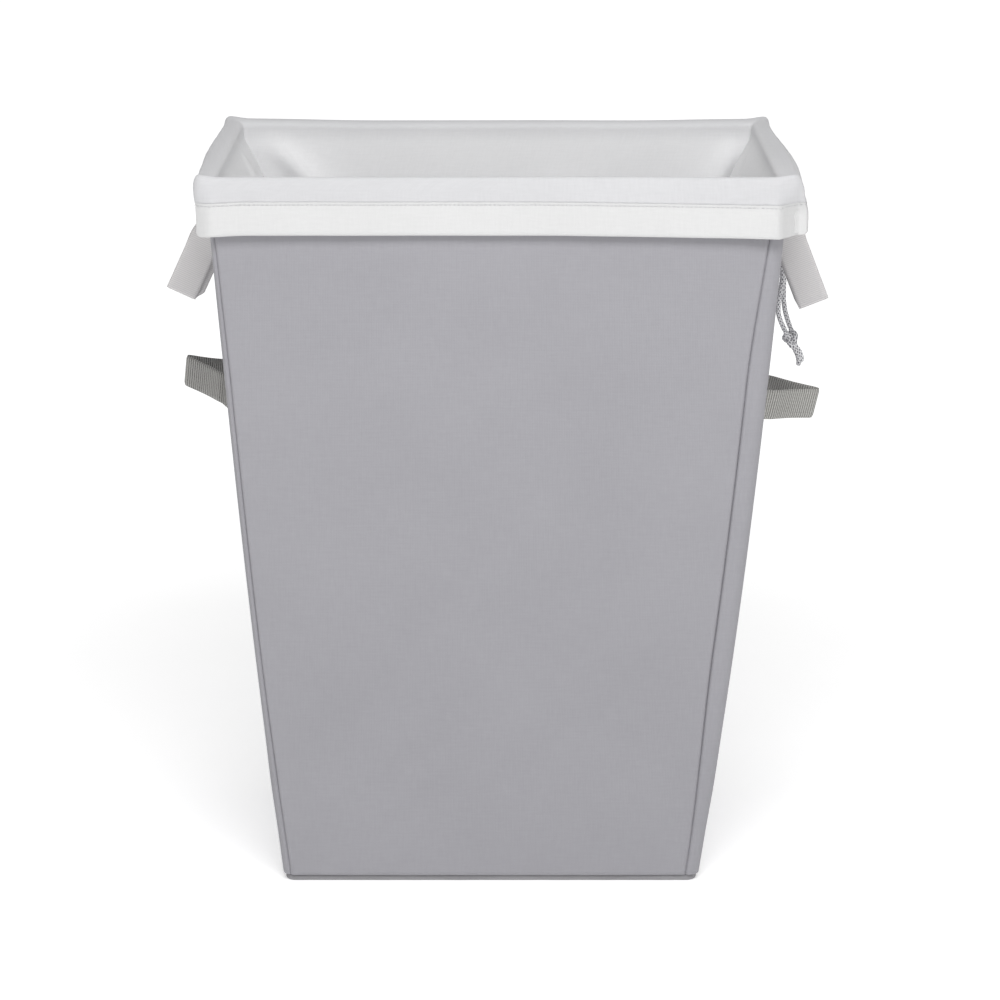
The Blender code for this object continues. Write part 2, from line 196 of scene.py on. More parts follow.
# Plain weave: two crossed sets of threads, thicker here and there along their length, with a soft
# mottle from uneven dye. They give a matt face that catches no highlight. Where a second, lighter
# pair of colours is given, it shows below the length "until" along its UV: painted light there
def wovenMaterial(name, colours, thread, mottle=0.5, bump=0.35, roughness=0.93, sheen=0.1,
                  coordinate="UV", paintedLightColours=None, until=0.0):
    material, tree, shader = newMaterial(name, roughness, sheen)
    where = addNode(tree, "TexCoord").outputs[coordinate]
    threads, slubs = [], []
    slubLong = 0.12  # slubs are this much finer across their thread than along it
    for direction, stretch in (("X", (1.0, slubLong, 1.0)), ("Y", (slubLong, 1.0, 1.0))):
        threads.append(addNode(tree, "TexWave", {"bands_direction": direction},
                               {"Vector": where, "Scale": bandScale(thread), "Distortion": 0.6,
                                "Detail": 1.0, "Detail Scale": 2.0}).outputs["Fac"])
        along = addNode(tree, "Mapping", None, {"Vector": where, "Scale": stretch})
        slubs.append(addNode(tree, "TexNoise", None, {"Vector": along.outputs["Vector"],
                                                      "Scale": 0.7 / thread, "Detail": 2.0,
                                                      "Roughness": 0.6}).outputs["Fac"])
    weave = addNode(tree, "Math", {"operation": "MULTIPLY"}, {0: threads[0], 1: threads[1]})
    uneven = addNode(tree, "Mix", {"data_type": "FLOAT"}, {"Factor": 0.5, "A": slubs[0], "B": slubs[1]})
    cloud = addNode(tree, "TexNoise", None, {"Vector": where, "Scale": 9.0, "Detail": 2.0,
                                             "Roughness": 0.5})
    both = addNode(tree, "Mix", {"data_type": "FLOAT"},
                   {"Factor": mottle, "A": uneven.outputs[0], "B": cloud.outputs["Fac"]})
    ramp = addRamp(tree, shader, both.outputs[0], colours, (0.36, 0.64))
    # below "until" the cloth takes the lighter colours: painted light
    if paintedLightColours:
        inside = addRamp(tree, shader, both.outputs[0], paintedLightColours, (0.36, 0.64))
        along = addNode(tree, "SeparateXYZ", None, {"Vector": where})
        share = addNode(tree, "MapRange", {"interpolation_type": "SMOOTHSTEP"},
                        {"Value": along.outputs["Y"], "From Min": until - 12 * mm,
                         "From Max": until + 14 * mm})
        tone = addNode(tree, "Mix", {"data_type": "RGBA"}, {"Factor": share.outputs["Result"]})
        tree.links.new(inside.outputs["Color"], tone.inputs["A"])
        tree.links.new(ramp.outputs["Color"], tone.inputs["B"])
        tree.links.new(tone.outputs["Result"], shader.inputs["Base Color"])
    height = addNode(tree, "Math", {"operation": "ADD"}, {0: weave.outputs[0], 1: uneven.outputs[0]})
    bumps = addNode(tree, "Bump", None, {"Strength": bump, "Distance": 0.25 * mm,
                                         "Height": height.outputs[0]})
    tree.links.new(bumps.outputs["Normal"], shader.inputs["Normal"])
    return material


# Colours the shader between two tones
def addRamp(tree, shader, value, colours, places):
    ramp = addNode(tree, "ValToRGB", None, {"Fac": value})
    for element, code, place in zip(ramp.color_ramp.elements, colours, places):
        element.position = place
        element.color = linearColour(code)
    tree.links.new(ramp.outputs["Color"], shader.inputs["Base Color"])
    return ramp


# Webbing: fat ribs across it, crossed by fine threads along it. The valleys between ribs are painted
# darker, as painted shade, which keeps the ribs clear in flat light
def ribbedMaterial(name, colours, rib, thread, bump, roughness):
    material, tree, shader = newMaterial(name, roughness, 0.05)
    where = addNode(tree, "TexCoord").outputs["UV"]
    ribs = addNode(tree, "TexWave", {"bands_direction": "X", "wave_profile": "SIN"},
                   {"Vector": where, "Scale": bandScale(rib), "Distortion": 0.35, "Detail": 1.0,
                    "Detail Scale": 3.0, "Phase Offset": math.pi / 2})
    threads = addNode(tree, "TexWave", {"bands_direction": "Y"},
                      {"Vector": where, "Scale": bandScale(thread), "Distortion": 0.8,
                       "Detail": 1.0, "Detail Scale": 2.0})
    grain = addNode(tree, "TexNoise", None, {"Vector": where, "Scale": 0.8 / thread, "Detail": 2.0})
    crossed = addNode(tree, "Mix", {"data_type": "FLOAT"},
                      {"Factor": 0.3, "A": ribs.outputs["Fac"], "B": threads.outputs["Fac"]})
    uneven = addNode(tree, "Mix", {"data_type": "FLOAT"},
                     {"Factor": 0.3, "A": crossed.outputs[0], "B": grain.outputs["Fac"]})
    # the ramp paints the valleys between ribs dark: painted shade
    addRamp(tree, shader, uneven.outputs[0], colours, (0.25, 0.7))
    bumps = addNode(tree, "Bump", None, {"Strength": bump, "Distance": 0.3 * mm,
                                         "Height": uneven.outputs[0]})
    tree.links.new(bumps.outputs["Normal"], shader.inputs["Normal"])
    return material


# Braided yarn: two sets of strands wound opposite ways, painted dark where one dives under, as painted
# shade
def braidMaterial(name, colours, pitch):
    material, tree, shader = newMaterial(name, 0.9, 0.2)
    where = addNode(tree, "TexCoord").outputs["UV"]
    strands = []
    for turn in (math.radians(40), math.radians(-40)):
        slanted = addNode(tree, "Mapping", None, {"Vector": where, "Rotation": (0, 0, turn)})
        strands.append(addNode(tree, "TexWave", {"bands_direction": "X"},
                               {"Vector": slanted.outputs["Vector"], "Scale": bandScale(pitch),
                                "Distortion": 0.8, "Detail": 1.0,
                                "Detail Scale": 2.0}).outputs["Fac"])
    braid = addNode(tree, "Math", {"operation": "MAXIMUM"}, {0: strands[0], 1: strands[1]})
    # dark where a strand dives under: painted shade
    addRamp(tree, shader, braid.outputs[0], colours, (0.35, 0.85))
    bumps = addNode(tree, "Bump", None, {"Strength": 0.8, "Distance": 0.4 * mm,
                                         "Height": braid.outputs[0]})
    tree.links.new(bumps.outputs["Normal"], shader.inputs["Normal"])
    return material


# Near the object and far from it, the table's distance and its glow
tableGlow = {"near": (0.3, 0.46), "far": (2.2, 0.78)}


# White acrylic light table: frosted, lit a little from below, so its shadows are pale
def tableMaterial():
    material, tree, shader = newMaterial("frostedAcrylic", 0.8)
    where = addNode(tree, "TexCoord").outputs["Object"]
    grain = addNode(tree, "TexNoise", None, {"Vector": where, "Scale": 3.0, "Detail": 2.0})
    addRamp(tree, shader, grain.outputs["Fac"], ("#FAFAFA", "#FFFFFF"), (0.3, 0.7))
    shader.inputs["Emission Color"].default_value = (1, 1, 1, 1)
    away = addNode(tree, "VectorMath", {"operation": "LENGTH"}, {0: where})
    (near, low), (far, high) = tableGlow["near"], tableGlow["far"]
    glow = addNode(tree, "MapRange", {"interpolation_type": "SMOOTHSTEP"},
                   {"Value": away.outputs["Value"], "From Min": near, "From Max": far,
                    "To Min": low, "To Max": high})
    tree.links.new(glow.outputs["Result"], shader.inputs["Emission Strength"])
    return material


# Uncoated grey chipboard, as pressed: flecks of pulp and a dull face
def boardMaterial():
    material, tree, shader = newMaterial("greyChipboard", 0.85)
    where = addNode(tree, "TexCoord").outputs["Object"]
    fleck = addNode(tree, "TexNoise", None, {"Vector": where, "Scale": 420.0, "Detail": 4.0})
    addRamp(tree, shader, fleck.outputs["Fac"], ("#8B8478", "#A59D90"), (0.35, 0.65))
    bumps = addNode(tree, "Bump", None, {"Strength": 0.2, "Distance": 0.1 * mm,
                                         "Height": fleck.outputs["Fac"]})
    tree.links.new(bumps.outputs["Normal"], shader.inputs["Normal"])
    return material


# Thread spacings are two to three times the real ones, so that they show at this size
finishes = {
    # spun polyester canvas: even mid grey, with the weave just showing
    "shellCloth": wovenMaterial("greyPolyesterCanvas", ("#9B9A9F", "#A1A0A5"), 1.3 * mm, mottle=0.4,
                                bump=0.18),
    "baseCloth": wovenMaterial("greyPolyesterCanvasBase", ("#8F8E92", "#98979B"), 1.3 * mm, mottle=0.4,
                               bump=0.2, coordinate="Object"),
    # thin taffeta: flatter and paler than the canvas
    "liningCloth": wovenMaterial("greyLiningTaffeta", ("#A6A5A8", "#B3B2B4"), 1.2 * mm,
                                 coordinate="Object"),
    # bias tape: a shade darker than the canvas that it edges
    "bindingTape": wovenMaterial("greyBiasTape", ("#8E8D90", "#9B9A9D"), 1.0 * mm,
                                 coordinate="Object"),
    # poplin: a fine flat weave; inside the bag, below the rim, it is painted lighter than on the cuff,
    # as painted light filling the bag
    "bagCloth": wovenMaterial("paleGreyPoplin", ("#C9C9CB", "#D0D0D2"), 1.1 * mm, mottle=0.4,
                              bump=0.2, paintedLightColours=("#E4E4E5", "#EAEAEB"), until=0.575),
    # bleached poplin, double, so that nothing grey shows through it
    "hemCloth": wovenMaterial("whitePoplin", ("#D2D2D2", "#D8D8D8"), 1.0 * mm, mottle=0.4,
                              bump=0.2),
    # polypropylene webbing: hard ribs with painted shade in the valleys and a slight gloss
    "handleWebbing": ribbedMaterial("ribbedPolypropyleneWebbing", ("#7C7B78", "#C6C5C1"), 2.1 * mm,
                                    1.2 * mm, 0.7, 0.75),
    # the same webbing, painted darker for the left handle: painted shade, as that side of the hamper
    # gets less light
    "shadedLeftWebbing": ribbedMaterial("leftShadePolypropyleneWebbing", ("#4C4B49", "#B0AFAC"), 2.1 * mm,
                                  1.2 * mm, 0.9, 0.75),
    # cotton webbing: soft shallow ribs, nearly one colour
    "strapWebbing": ribbedMaterial("paleCottonWebbing", ("#CCCACA", "#DCDADA"), 1.6 * mm, 1.1 * mm,
                                   0.25, 0.85),
    # braided cotton: pale crowns, with painted grey shade where each strand dives under
    "cordYarn": braidMaterial("braidedCottonCord", ("#7A7A80", "#F4F4F6"), 2.3 * mm),
    # twisted sewing thread, white in the hem; in the grey seams it is real thread painted darker than
    # thread, as painted shade of the seam's groove
    "thread": wovenMaterial("seamThreadAndPaintedShade", ("#3E3D45", "#4C4B54"), 0.5 * mm,
                            coordinate="Object"),
    "paleThread": wovenMaterial("whiteSewingThread", ("#C4C4C6", "#D2D2D4"), 0.5 * mm,
                                coordinate="Object"),
    "chipboard": boardMaterial(),
}


def dress(piece, finish, body, slot, *nodes):
    piece.data.materials.clear()
    piece.data.materials.append(finishes[finish])
    if nodes:
        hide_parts(*nodes)
    if body:
        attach(piece, body)
    return piece


weltLow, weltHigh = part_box("base_welt")
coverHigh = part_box("right_cover")[1]
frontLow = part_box("front_cover")[0]
bagSides = ("front", "rear", "left", "right")


# Lowest and highest corners of several nodes together
def spanOf(*nodes):
    boxes = [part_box(node) for node in nodes]
    low = Vector(min(box[0][k] for box in boxes) for k in range(3))
    high = Vector(max(box[1][k] for box in boxes) for k in range(3))
    return low, high


def pivotOf(name):
    return Vector(next(joint["pos_m"] for joint in frame["joints"] if joint["name"] == name))


cuffNodes = [f"bag_{side}_cuff" for side in bagSides]
hemNodes = [f"bag_{side}_hem" for side in bagSides]
cuffHigh = spanOf(*cuffNodes)[1]
hemLow, hemHigh = spanOf(*hemNodes)
ringLow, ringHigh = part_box("drawstring_ring")
bindingLow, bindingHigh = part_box("rim_binding")

hamperShape = {
    "weltInset": 0.5 * mm,
    "corner": 9 * mm,
    "cloth": 0.8 * mm,
    "sideBow": 4.0 * mm,       # the boards bow outwards between base and rim
    "frontBow": 5.5 * mm,
    "lean": 3.7 * mm,          # the base stands a little to the left of the rim
    "leanRight": 0.75,         # and its right side is drawn in by this much more
    # seam's distance from the side's flat, round the corner: at the rim, half way and at the base
    "leftSeam": (7.6 * mm, 9.0 * mm, 10.8 * mm),
    "rightSeam": (15.0 * mm, 21.5 * mm, 16.0 * mm),
    "seamDepth": 2.3 * mm,
    "waver": 0.5 * mm,
    # pulls across the front: across and up at both ends, half width and depth
    "pulls": [((-0.165, 0.005), (0.150, 0.420), 20 * mm, 3.8 * mm),
              ((-0.040, 0.070), (0.172, 0.245), 15 * mm, 3.0 * mm),
              ((-0.130, 0.030), (0.020, 0.150), 11 * mm, 1.6 * mm),
              ((0.070, 0.090), (0.160, 0.135), 9 * mm, 0.8 * mm),
              ((0.112, 0.066), (0.162, 0.098), 4.0 * mm, 0.6 * mm),
              ((0.120, 0.040), (0.160, 0.066), 3.5 * mm, 0.6 * mm)],
}
baseX = weltHigh.x + hamperShape["weltInset"]
baseY = weltHigh.y + hamperShape["weltInset"]


def wallHalf(z):
    share = z / coverHigh.z
    return baseX + (coverHigh.x - baseX) * share, baseY + (-frontLow.y - baseY) * share


def bowAt(z):
    share = min(1.0, max(0.0, z / coverHigh.z))
    return math.sin(math.pi * share ** 0.85)


def leanAt(z, x):
    more = 1 + hamperShape["leanRight"] * smoothStep((x - 80 * mm) / (90 * mm))
    return -hamperShape["lean"] * more * (1 - min(1.0, max(0.0, z / coverHigh.z))) ** 2


# Distances round a rounded rectangle from the middle of its front to where each corner starts and
# ends, anticlockwise seen from above, and the whole way round
def outlineMarks(halfX, halfY, radius):
    flats = [halfX - radius, 2 * (halfY - radius), 2 * (halfX - radius), 2 * (halfY - radius)]
    arc = math.pi / 2 * radius
    marks, travelled = [], 0.0
    for flat in flats:
        marks += [travelled + flat, travelled + flat + arc]
        travelled += flat + arc
    return marks, travelled + halfX - radius


# The place that far round, the outward direction, and how far along its flat side it lies, from
# -1 to 1, with 1 round a corner
def outlineAt(halfX, halfY, radius, distance):
    distance = distance % outlineMarks(halfX, halfY, radius)[1]
    x, y = halfX - radius, halfY - radius
    sides = [(x, y), (y, x), (x, y), (y, x), (x, y)]
    start = -x
    for k, (along, out) in enumerate(sides):
        spin = Matrix.Rotation(math.pi / 2 * k, 3, "Z")
        end = start + 2 * along
        if distance <= end or k == 4:
            place = distance - start - along
            share = place / along
            return spin @ Vector((place, -out - radius, 0)), spin @ Vector((0, -1, 0)), share
        arc = math.pi / 2 * radius
        if distance <= end + arc:
            sweep = (distance - end) / radius
            normal = Vector((math.sin(sweep), -math.cos(sweep), 0))
            return spin @ (Vector((along, -out, 0)) + radius * normal), spin @ normal, 1.0
        start = end + arc


# Evenly parts each stretch between marks
def stationsRound(marks, counts):
    stations = [marks[0]]
    for a, b, count in zip(marks, marks[1:], counts):
        stations += [a + (b - a) * k / count for k in range(1, count + 1)]
    return stations


# How far along a line on a wall a spot lies, as a share of it, and how far to the side of it
def besideLine(across, up, start, end):
    run = Vector((end[0] - start[0], end[1] - start[1]))
    away = Vector((across - start[0], up - start[1]))
    return away.dot(run) / run.length_squared, (away.x * run.y - away.y * run.x) / run.length


# Shallow valleys where the cloth is drawn between its seams, each with a low ridge beside it
def pullDepth(across, up):
    depth = 0.0
    for start, end, width, deep in hamperShape["pulls"]:
        along, aside = besideLine(across, up, start, end)
        ends = smoothStep(along / 0.3) * smoothStep((1 - along) / 0.3)
        depth += deep * ends * (hump(aside, 0, width) - 0.5 * hump(aside, -1.7 * width, width))
    return depth


# A point on the outside of the hamper's cloth
def shellPoint(distance, z):
    halfX, halfY = wallHalf(z)
    point, normal, share = outlineAt(halfX, halfY, hamperShape["corner"], distance)
    flat = 1 - share * share
    bow = bowAt(z)
    sideways = abs(normal.x) > 0.5
    push = (hamperShape["sideBow"] * 0.4 if sideways else hamperShape["frontBow"]) * bow * flat
    # the rear and sides have the front's pulls too, turned round or weaker
    across = point.x if normal.y < -0.5 else -point.x if normal.y > 0.5 else point.y * 1.4
    push -= pullDepth(across, z) * (0.5 if sideways else 1.0)
    waver = noise.noise(Vector((point.x * 9, point.y * 9, z * 7)))
    waver += 0.4 * noise.noise(Vector((point.x * 30, point.y * 30, z * 22)))
    push += waver * hamperShape["waver"] * min(1.0, flat * 3 + 0.2)
    point += normal * push
    point.x += hamperShape["sideBow"] * bow * point.x / halfX + leanAt(z, point.x)
    point.z = z
    return point, normal


# The cloth's edge turns in at a seam, with a soft shoulder beside it
def rolledEdge(distance, z):
    deep = hamperShape["seamDepth"] * (0.75 + 0.9 * bowAt(z))
    pucker = 1 + 0.12 * math.sin(2 * math.pi * z / (7 * mm))
    groove = -deep * math.exp(-(distance / (1.0 * mm)) ** 2)
    return groove + 0.35 * mm * pucker * math.exp(-((distance - 2.6 * mm) / (1.5 * mm)) ** 2)


# A seam's distance at a height, eased between the rim, half way and the base
def seamAt(distances, z):
    rim, half, base = distances
    up = z / coverHigh.z
    return base + (half - base) * smoothStep(up / 0.35) + (rim - half) * smoothStep((up - 0.72) / 0.26)


coverRows = 160
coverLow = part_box("front_cover")[0].z
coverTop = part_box("front_cover")[1].z


# marksAt(z) gives the distances round the box from one seam of the cover to the other
def makeCover(name, node, marksAt, counts):
    columns = sum(counts)

    def place(i, j):
        z = coverLow + (coverTop - coverLow) * j / coverRows
        stations = stationsRound(marksAt(z), counts)
        distance = stations[i]
        point, normal = shellPoint(distance, z)
        point += normal * rolledEdge(min(distance - stations[0], stations[-1] - distance), z)
        return point, (distance, z)

    cover = clothGrid(name, columns, coverRows, place, thickness=hamperShape["cloth"])
    dress(cover, "shellCloth", "hamper", "shell_fabric", node)
    widths = [marksAt(z)[-1] - marksAt(z)[0] for z in (coverLow, coverTop)]
    return cover


# Depth under the cloth's face, and thickness
layers = {"board": (1.1 * mm, 3.0 * mm), "lining": (4.4 * mm, 0.8 * mm)}


# span(marks, whole) gives where the wall's layer starts and ends round the box
def makeLayer(node, kind, finish, slot, span, columns):
    low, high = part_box(node)
    depth, thickness = layers[kind]
    rows = 60

    def ends(z):
        return span(*outlineMarks(*wallHalf(z), hamperShape["corner"]))

    def place(i, j):
        z = low.z + (high.z - low.z) * j / rows
        start, end = ends(z)
        point, normal = shellPoint(start + (end - start) * i / columns, z)
        return point - normal * (depth + thickness / 2), (start + (end - start) * i / columns, z)

    first, *rest = node.split("_")
    name = first + "".join(word.capitalize() for word in rest)
    layer = clothGrid(name, columns, rows, place, thickness=thickness, offset=0.0)
    dress(layer, finish, "hamper", slot, node)
    if kind == "lining":
        widths = [ends(z)[1] - ends(z)[0] for z in (low.z, high.z)]


# Grey boards behind the covers, the side ones in two leaves with a gap between them at the fold line,
# and a thin lining inside them
def makeLayers():
    trim, seamRoom, fold = 0.4 * mm, 9 * mm, 1.5 * mm
    arc = math.pi / 4 * hamperShape["corner"] - 0.2 * mm
    boards = {
        "front_board": lambda m, whole: (m[7] - whole + trim, m[0] - seamRoom),
        "rear_board": lambda m, whole: (m[3] + seamRoom, m[4] - trim),
        "right_front_board": lambda m, whole: (m[1] + trim, (m[1] + m[2]) / 2 - fold),
        "right_rear_board": lambda m, whole: ((m[1] + m[2]) / 2 + fold, m[2] - trim),
        "left_rear_board": lambda m, whole: (m[5] + trim, (m[5] + m[6]) / 2 - fold),
        "left_front_board": lambda m, whole: ((m[5] + m[6]) / 2 + fold, m[6] - trim)}
    linings = {
        "front_lining": lambda m, whole: (m[7] - whole - arc, m[0] + arc),
        "right_lining": lambda m, whole: (m[1] - arc, m[2] + arc),
        "rear_lining": lambda m, whole: (m[3] - arc, m[4] + arc),
        "left_lining": lambda m, whole: (m[5] - arc, m[6] + arc)}
    for node, span in boards.items():
        makeLayer(node, "board", "chipboard", "board", span, 30)
    for node, span in linings.items():
        makeLayer(node, "lining", "liningCloth", "lining", span, 60)
    print("boards and linings made")


# The base's three layers, cut with round corners
def makeBaseLayers():
    corner = 6 * mm
    for node, finish, slot, cloth in (("base_cover", "baseCloth", "shell_fabric", True),
                                      ("base_board", "chipboard", "board", False),
                                      ("base_lining", "liningCloth", "lining", True)):
        low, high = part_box(node)
        left, right = low.x + leanAt(0, low.x), high.x + leanAt(0, high.x)
        size = Vector((right - left, high.y - low.y, high.z - low.z))
        shape = bmesh.new()
        bmesh.ops.create_cube(shape, size=1)
        bmesh.ops.scale(shape, verts=shape.verts, vec=size)
        bmesh.ops.translate(shape, verts=shape.verts,
                            vec=((left + right) / 2, (low.y + high.y) / 2, (low.z + high.z) / 2))
        upright = [e for e in shape.edges if abs(e.verts[0].co.z - e.verts[1].co.z) > size.z / 2]
        bmesh.ops.bevel(shape, geom=upright, offset=corner, segments=6, profile=0.5, affect="EDGES",
                        material=-1)
        base = meshPiece(node.split("_")[0] + node.split("_")[1].capitalize(), shape, smooth=False)
        dress(base, finish, "hamper", slot, node)
    print("base made")


# Front and rear pieces between the seams, and two sides that wrap the corners
def makeShell():
    seamRoll = 4 * mm

    # Distances round the box of the four seams, and the box's own marks
    def seams(z):
        halfX, halfY = wallHalf(z)
        marks, whole = outlineMarks(halfX, halfY, hamperShape["corner"])
        right = seamAt(hamperShape["rightSeam"], z)
        left = seamAt(hamperShape["leftSeam"], z)
        return {"frontRight": marks[1] - right, "rearRight": marks[2] + right,
                "rearLeft": marks[5] - left, "frontLeft": marks[6] + left,
                "marks": marks, "whole": whole}

    def flat(first, second, turn=False):
        def marksAt(z):
            seam = seams(z)
            start, end = seam[first], seam[second]
            if turn:
                start -= seam["whole"]
            return [start, start + seamRoll, end - seamRoll, end]
        return marksAt

    makeCover("frontCover", "front_cover", flat("frontLeft", "frontRight", True), [8, 88, 8])
    makeCover("rearCover", "rear_cover", flat("rearRight", "rearLeft"), [8, 88, 8])

    # a side's marks where its flat starts and ends are given by their numbers
    def turned(first, second, flatStart, flatEnd):
        def marksAt(z):
            seam = seams(z)
            marks = seam["marks"]
            return [seam[first], seam[first] + seamRoll, marks[flatStart], marks[flatEnd],
                    seam[second] - seamRoll, seam[second]]
        return marksAt

    makeCover("rightCover", "right_cover", turned("frontRight", "rearRight", 1, 2), [8, 14, 56, 14, 8])
    makeCover("leftCover", "left_cover", turned("rearLeft", "frontLeft", 5, 6), [8, 14, 56, 14, 8])
    steps, short, proud = 120, 4 * mm, 0.25 * mm  # threads stop short of both ends and stand proud
    # the dark seam thread is real stitching, painted darker as painted shade along each seam's groove
    for name in ("frontRight", "rearRight", "rearLeft", "frontLeft"):
        route = []
        for k in range(steps + 1):
            z = coverLow + short + (coverTop - coverLow - 2 * short) * k / steps
            point, normal = shellPoint(seams(z)[name], z)
            route.append(point + normal * (rolledEdge(0, z) + proud))
        sewAlong(name + "SeamThreadAndShade", route, "thread", "hamper", "shell_fabric")
    print("shell covers made")


# Columns in half a front, a corner, a side and so on round the box
bandCounts = [60, 8, 84, 8, 80, 8, 84, 8, 60]


# A band round the whole box. at(j) gives half width, half depth, corner, height and the way up
# its own face, and shift moves each point
def bandRound(name, rows, at, shift, thickness=None):

    def place(i, j):
        halfX, halfY, radius, z, along = at(j)
        marks, whole = outlineMarks(halfX, halfY, radius)
        distance = stationsRound([0.0] + marks + [whole], bandCounts)[i]
        point, normal, share = outlineAt(halfX, halfY, radius, distance)
        point.z = z
        return shift(point, normal, share, j), (distance, along)

    return clothGrid(name, sum(bandCounts), rows, place, wrap=True, thickness=thickness)


weltShape = {"thick": 1.3 * mm, "corner": 8.5 * mm, "ripple": 0.25 * mm, "square": 0.7}


# Folded tape sewn round the base seam, its section a squared oval
def makeWelt():
    rows = 16
    middle = (weltLow.z + weltHigh.z) / 2
    tall = (weltHigh.z - weltLow.z) / 2
    thick, square = weltShape["thick"], weltShape["square"]

    def at(j):
        angle = 2 * math.pi * j / rows
        out = thick * math.copysign(abs(math.cos(angle)) ** square, math.cos(angle)) - thick
        z = middle + tall * math.copysign(abs(math.sin(angle)) ** square, math.sin(angle))
        return weltHigh.x + out, weltHigh.y + out, weltShape["corner"] + out, z, angle * thick

    def shift(point, normal, share, j):
        ripple = weltShape["ripple"] * noise.noise(point * 60)
        return point + normal * ripple + Vector((leanAt(0, point.x), 0, 0))

    welt = bandRound("baseWelt", rows, at, shift)
    dress(welt, "bindingTape", "hamper", "binding", "base_welt")
    print("base welt made")


# How deep the wall is under the tape, how far the tape's top stays under its node's, the share of
# its width that turns over the edge, and its length from edge to edge
bindingShape = {"wall": 5.2 * mm, "under": 0.8 * mm, "turn": 0.55, "corner": 8 * mm,
                "length": 40 * mm, "ripple": 0.2 * mm, "thick": 0.6 * mm}


# Tape folded over the top edges of the walls
def makeBinding():
    rows, bend = 14, bindingShape["turn"]
    half = (bindingHigh.x - coverHigh.x + bindingShape["wall"]) / 2
    middle = coverHigh.x - bindingShape["wall"] / 2
    topZ, low = bindingHigh.z - bindingShape["under"], bindingLow.z

    def at(j):
        u = -1 + 2 * j / rows
        if abs(u) > bend:
            out = math.copysign(half, u)
            z = low + (topZ - half - low) * (1 - abs(u)) / (1 - bend)
        else:
            turn = u / bend * math.pi / 2
            out, z = half * math.sin(turn), topZ - half + half * math.cos(turn)
        halfX = middle + out - (coverHigh.x - wallHalf(z)[0])
        return (halfX, halfX - coverHigh.x - frontLow.y, bindingShape["corner"] + out, z,
                u * bindingShape["length"] / 2)

    def shift(point, normal, share, j):
        return point + normal * bindingShape["ripple"] * noise.noise(point * 50)

    binding = bandRound("rimBinding", rows, at, shift, bindingShape["thick"])
    dress(binding, "bindingTape", "hamper", "binding", "rim_binding")
    print("rim binding made")


stitchShape = {"length": 2.8 * mm, "pitch": 3.4 * mm, "radius": 0.42 * mm}


# One stitch of thread: two cones base to base, so that it dips into the cloth at both ends
def addStitch(shape, start, end, radius):
    along = end - start
    thin, unit = radius * 0.55, 0.3
    stretch = Matrix.Diagonal((1, 1, along.length / 2 / unit)).to_4x4()
    turn = along.to_track_quat("Z", "Y").to_matrix().to_4x4()
    for middle, low, high in ((start + along / 4, thin, radius), (end - along / 4, radius, thin)):
        made = bmesh.ops.create_cone(shape, cap_ends=True, segments=6, radius1=low, radius2=high,
                                     depth=unit)["verts"]
        place = Matrix.Translation(middle) @ turn @ stretch
        bmesh.ops.transform(shape, verts=made, matrix=place)


# Even stitches along a route
def sewAlong(name, route, finish, body, slot, radius=None):
    shape = bmesh.new()
    pitch, length = stitchShape["pitch"], stitchShape["length"]
    radius = radius or stitchShape["radius"]
    travelled, due = 0.0, 0.0
    for a, b in zip(route, route[1:]):
        run = (b - a).length
        while due <= travelled + run and run > 0:
            start = a.lerp(b, (due - travelled) / run)
            addStitch(shape, start, start + (b - a).normalized() * length, radius)
            due += pitch
        travelled += run
    stitches = meshPiece(name, shape)
    return dress(stitches, finish, body, slot)


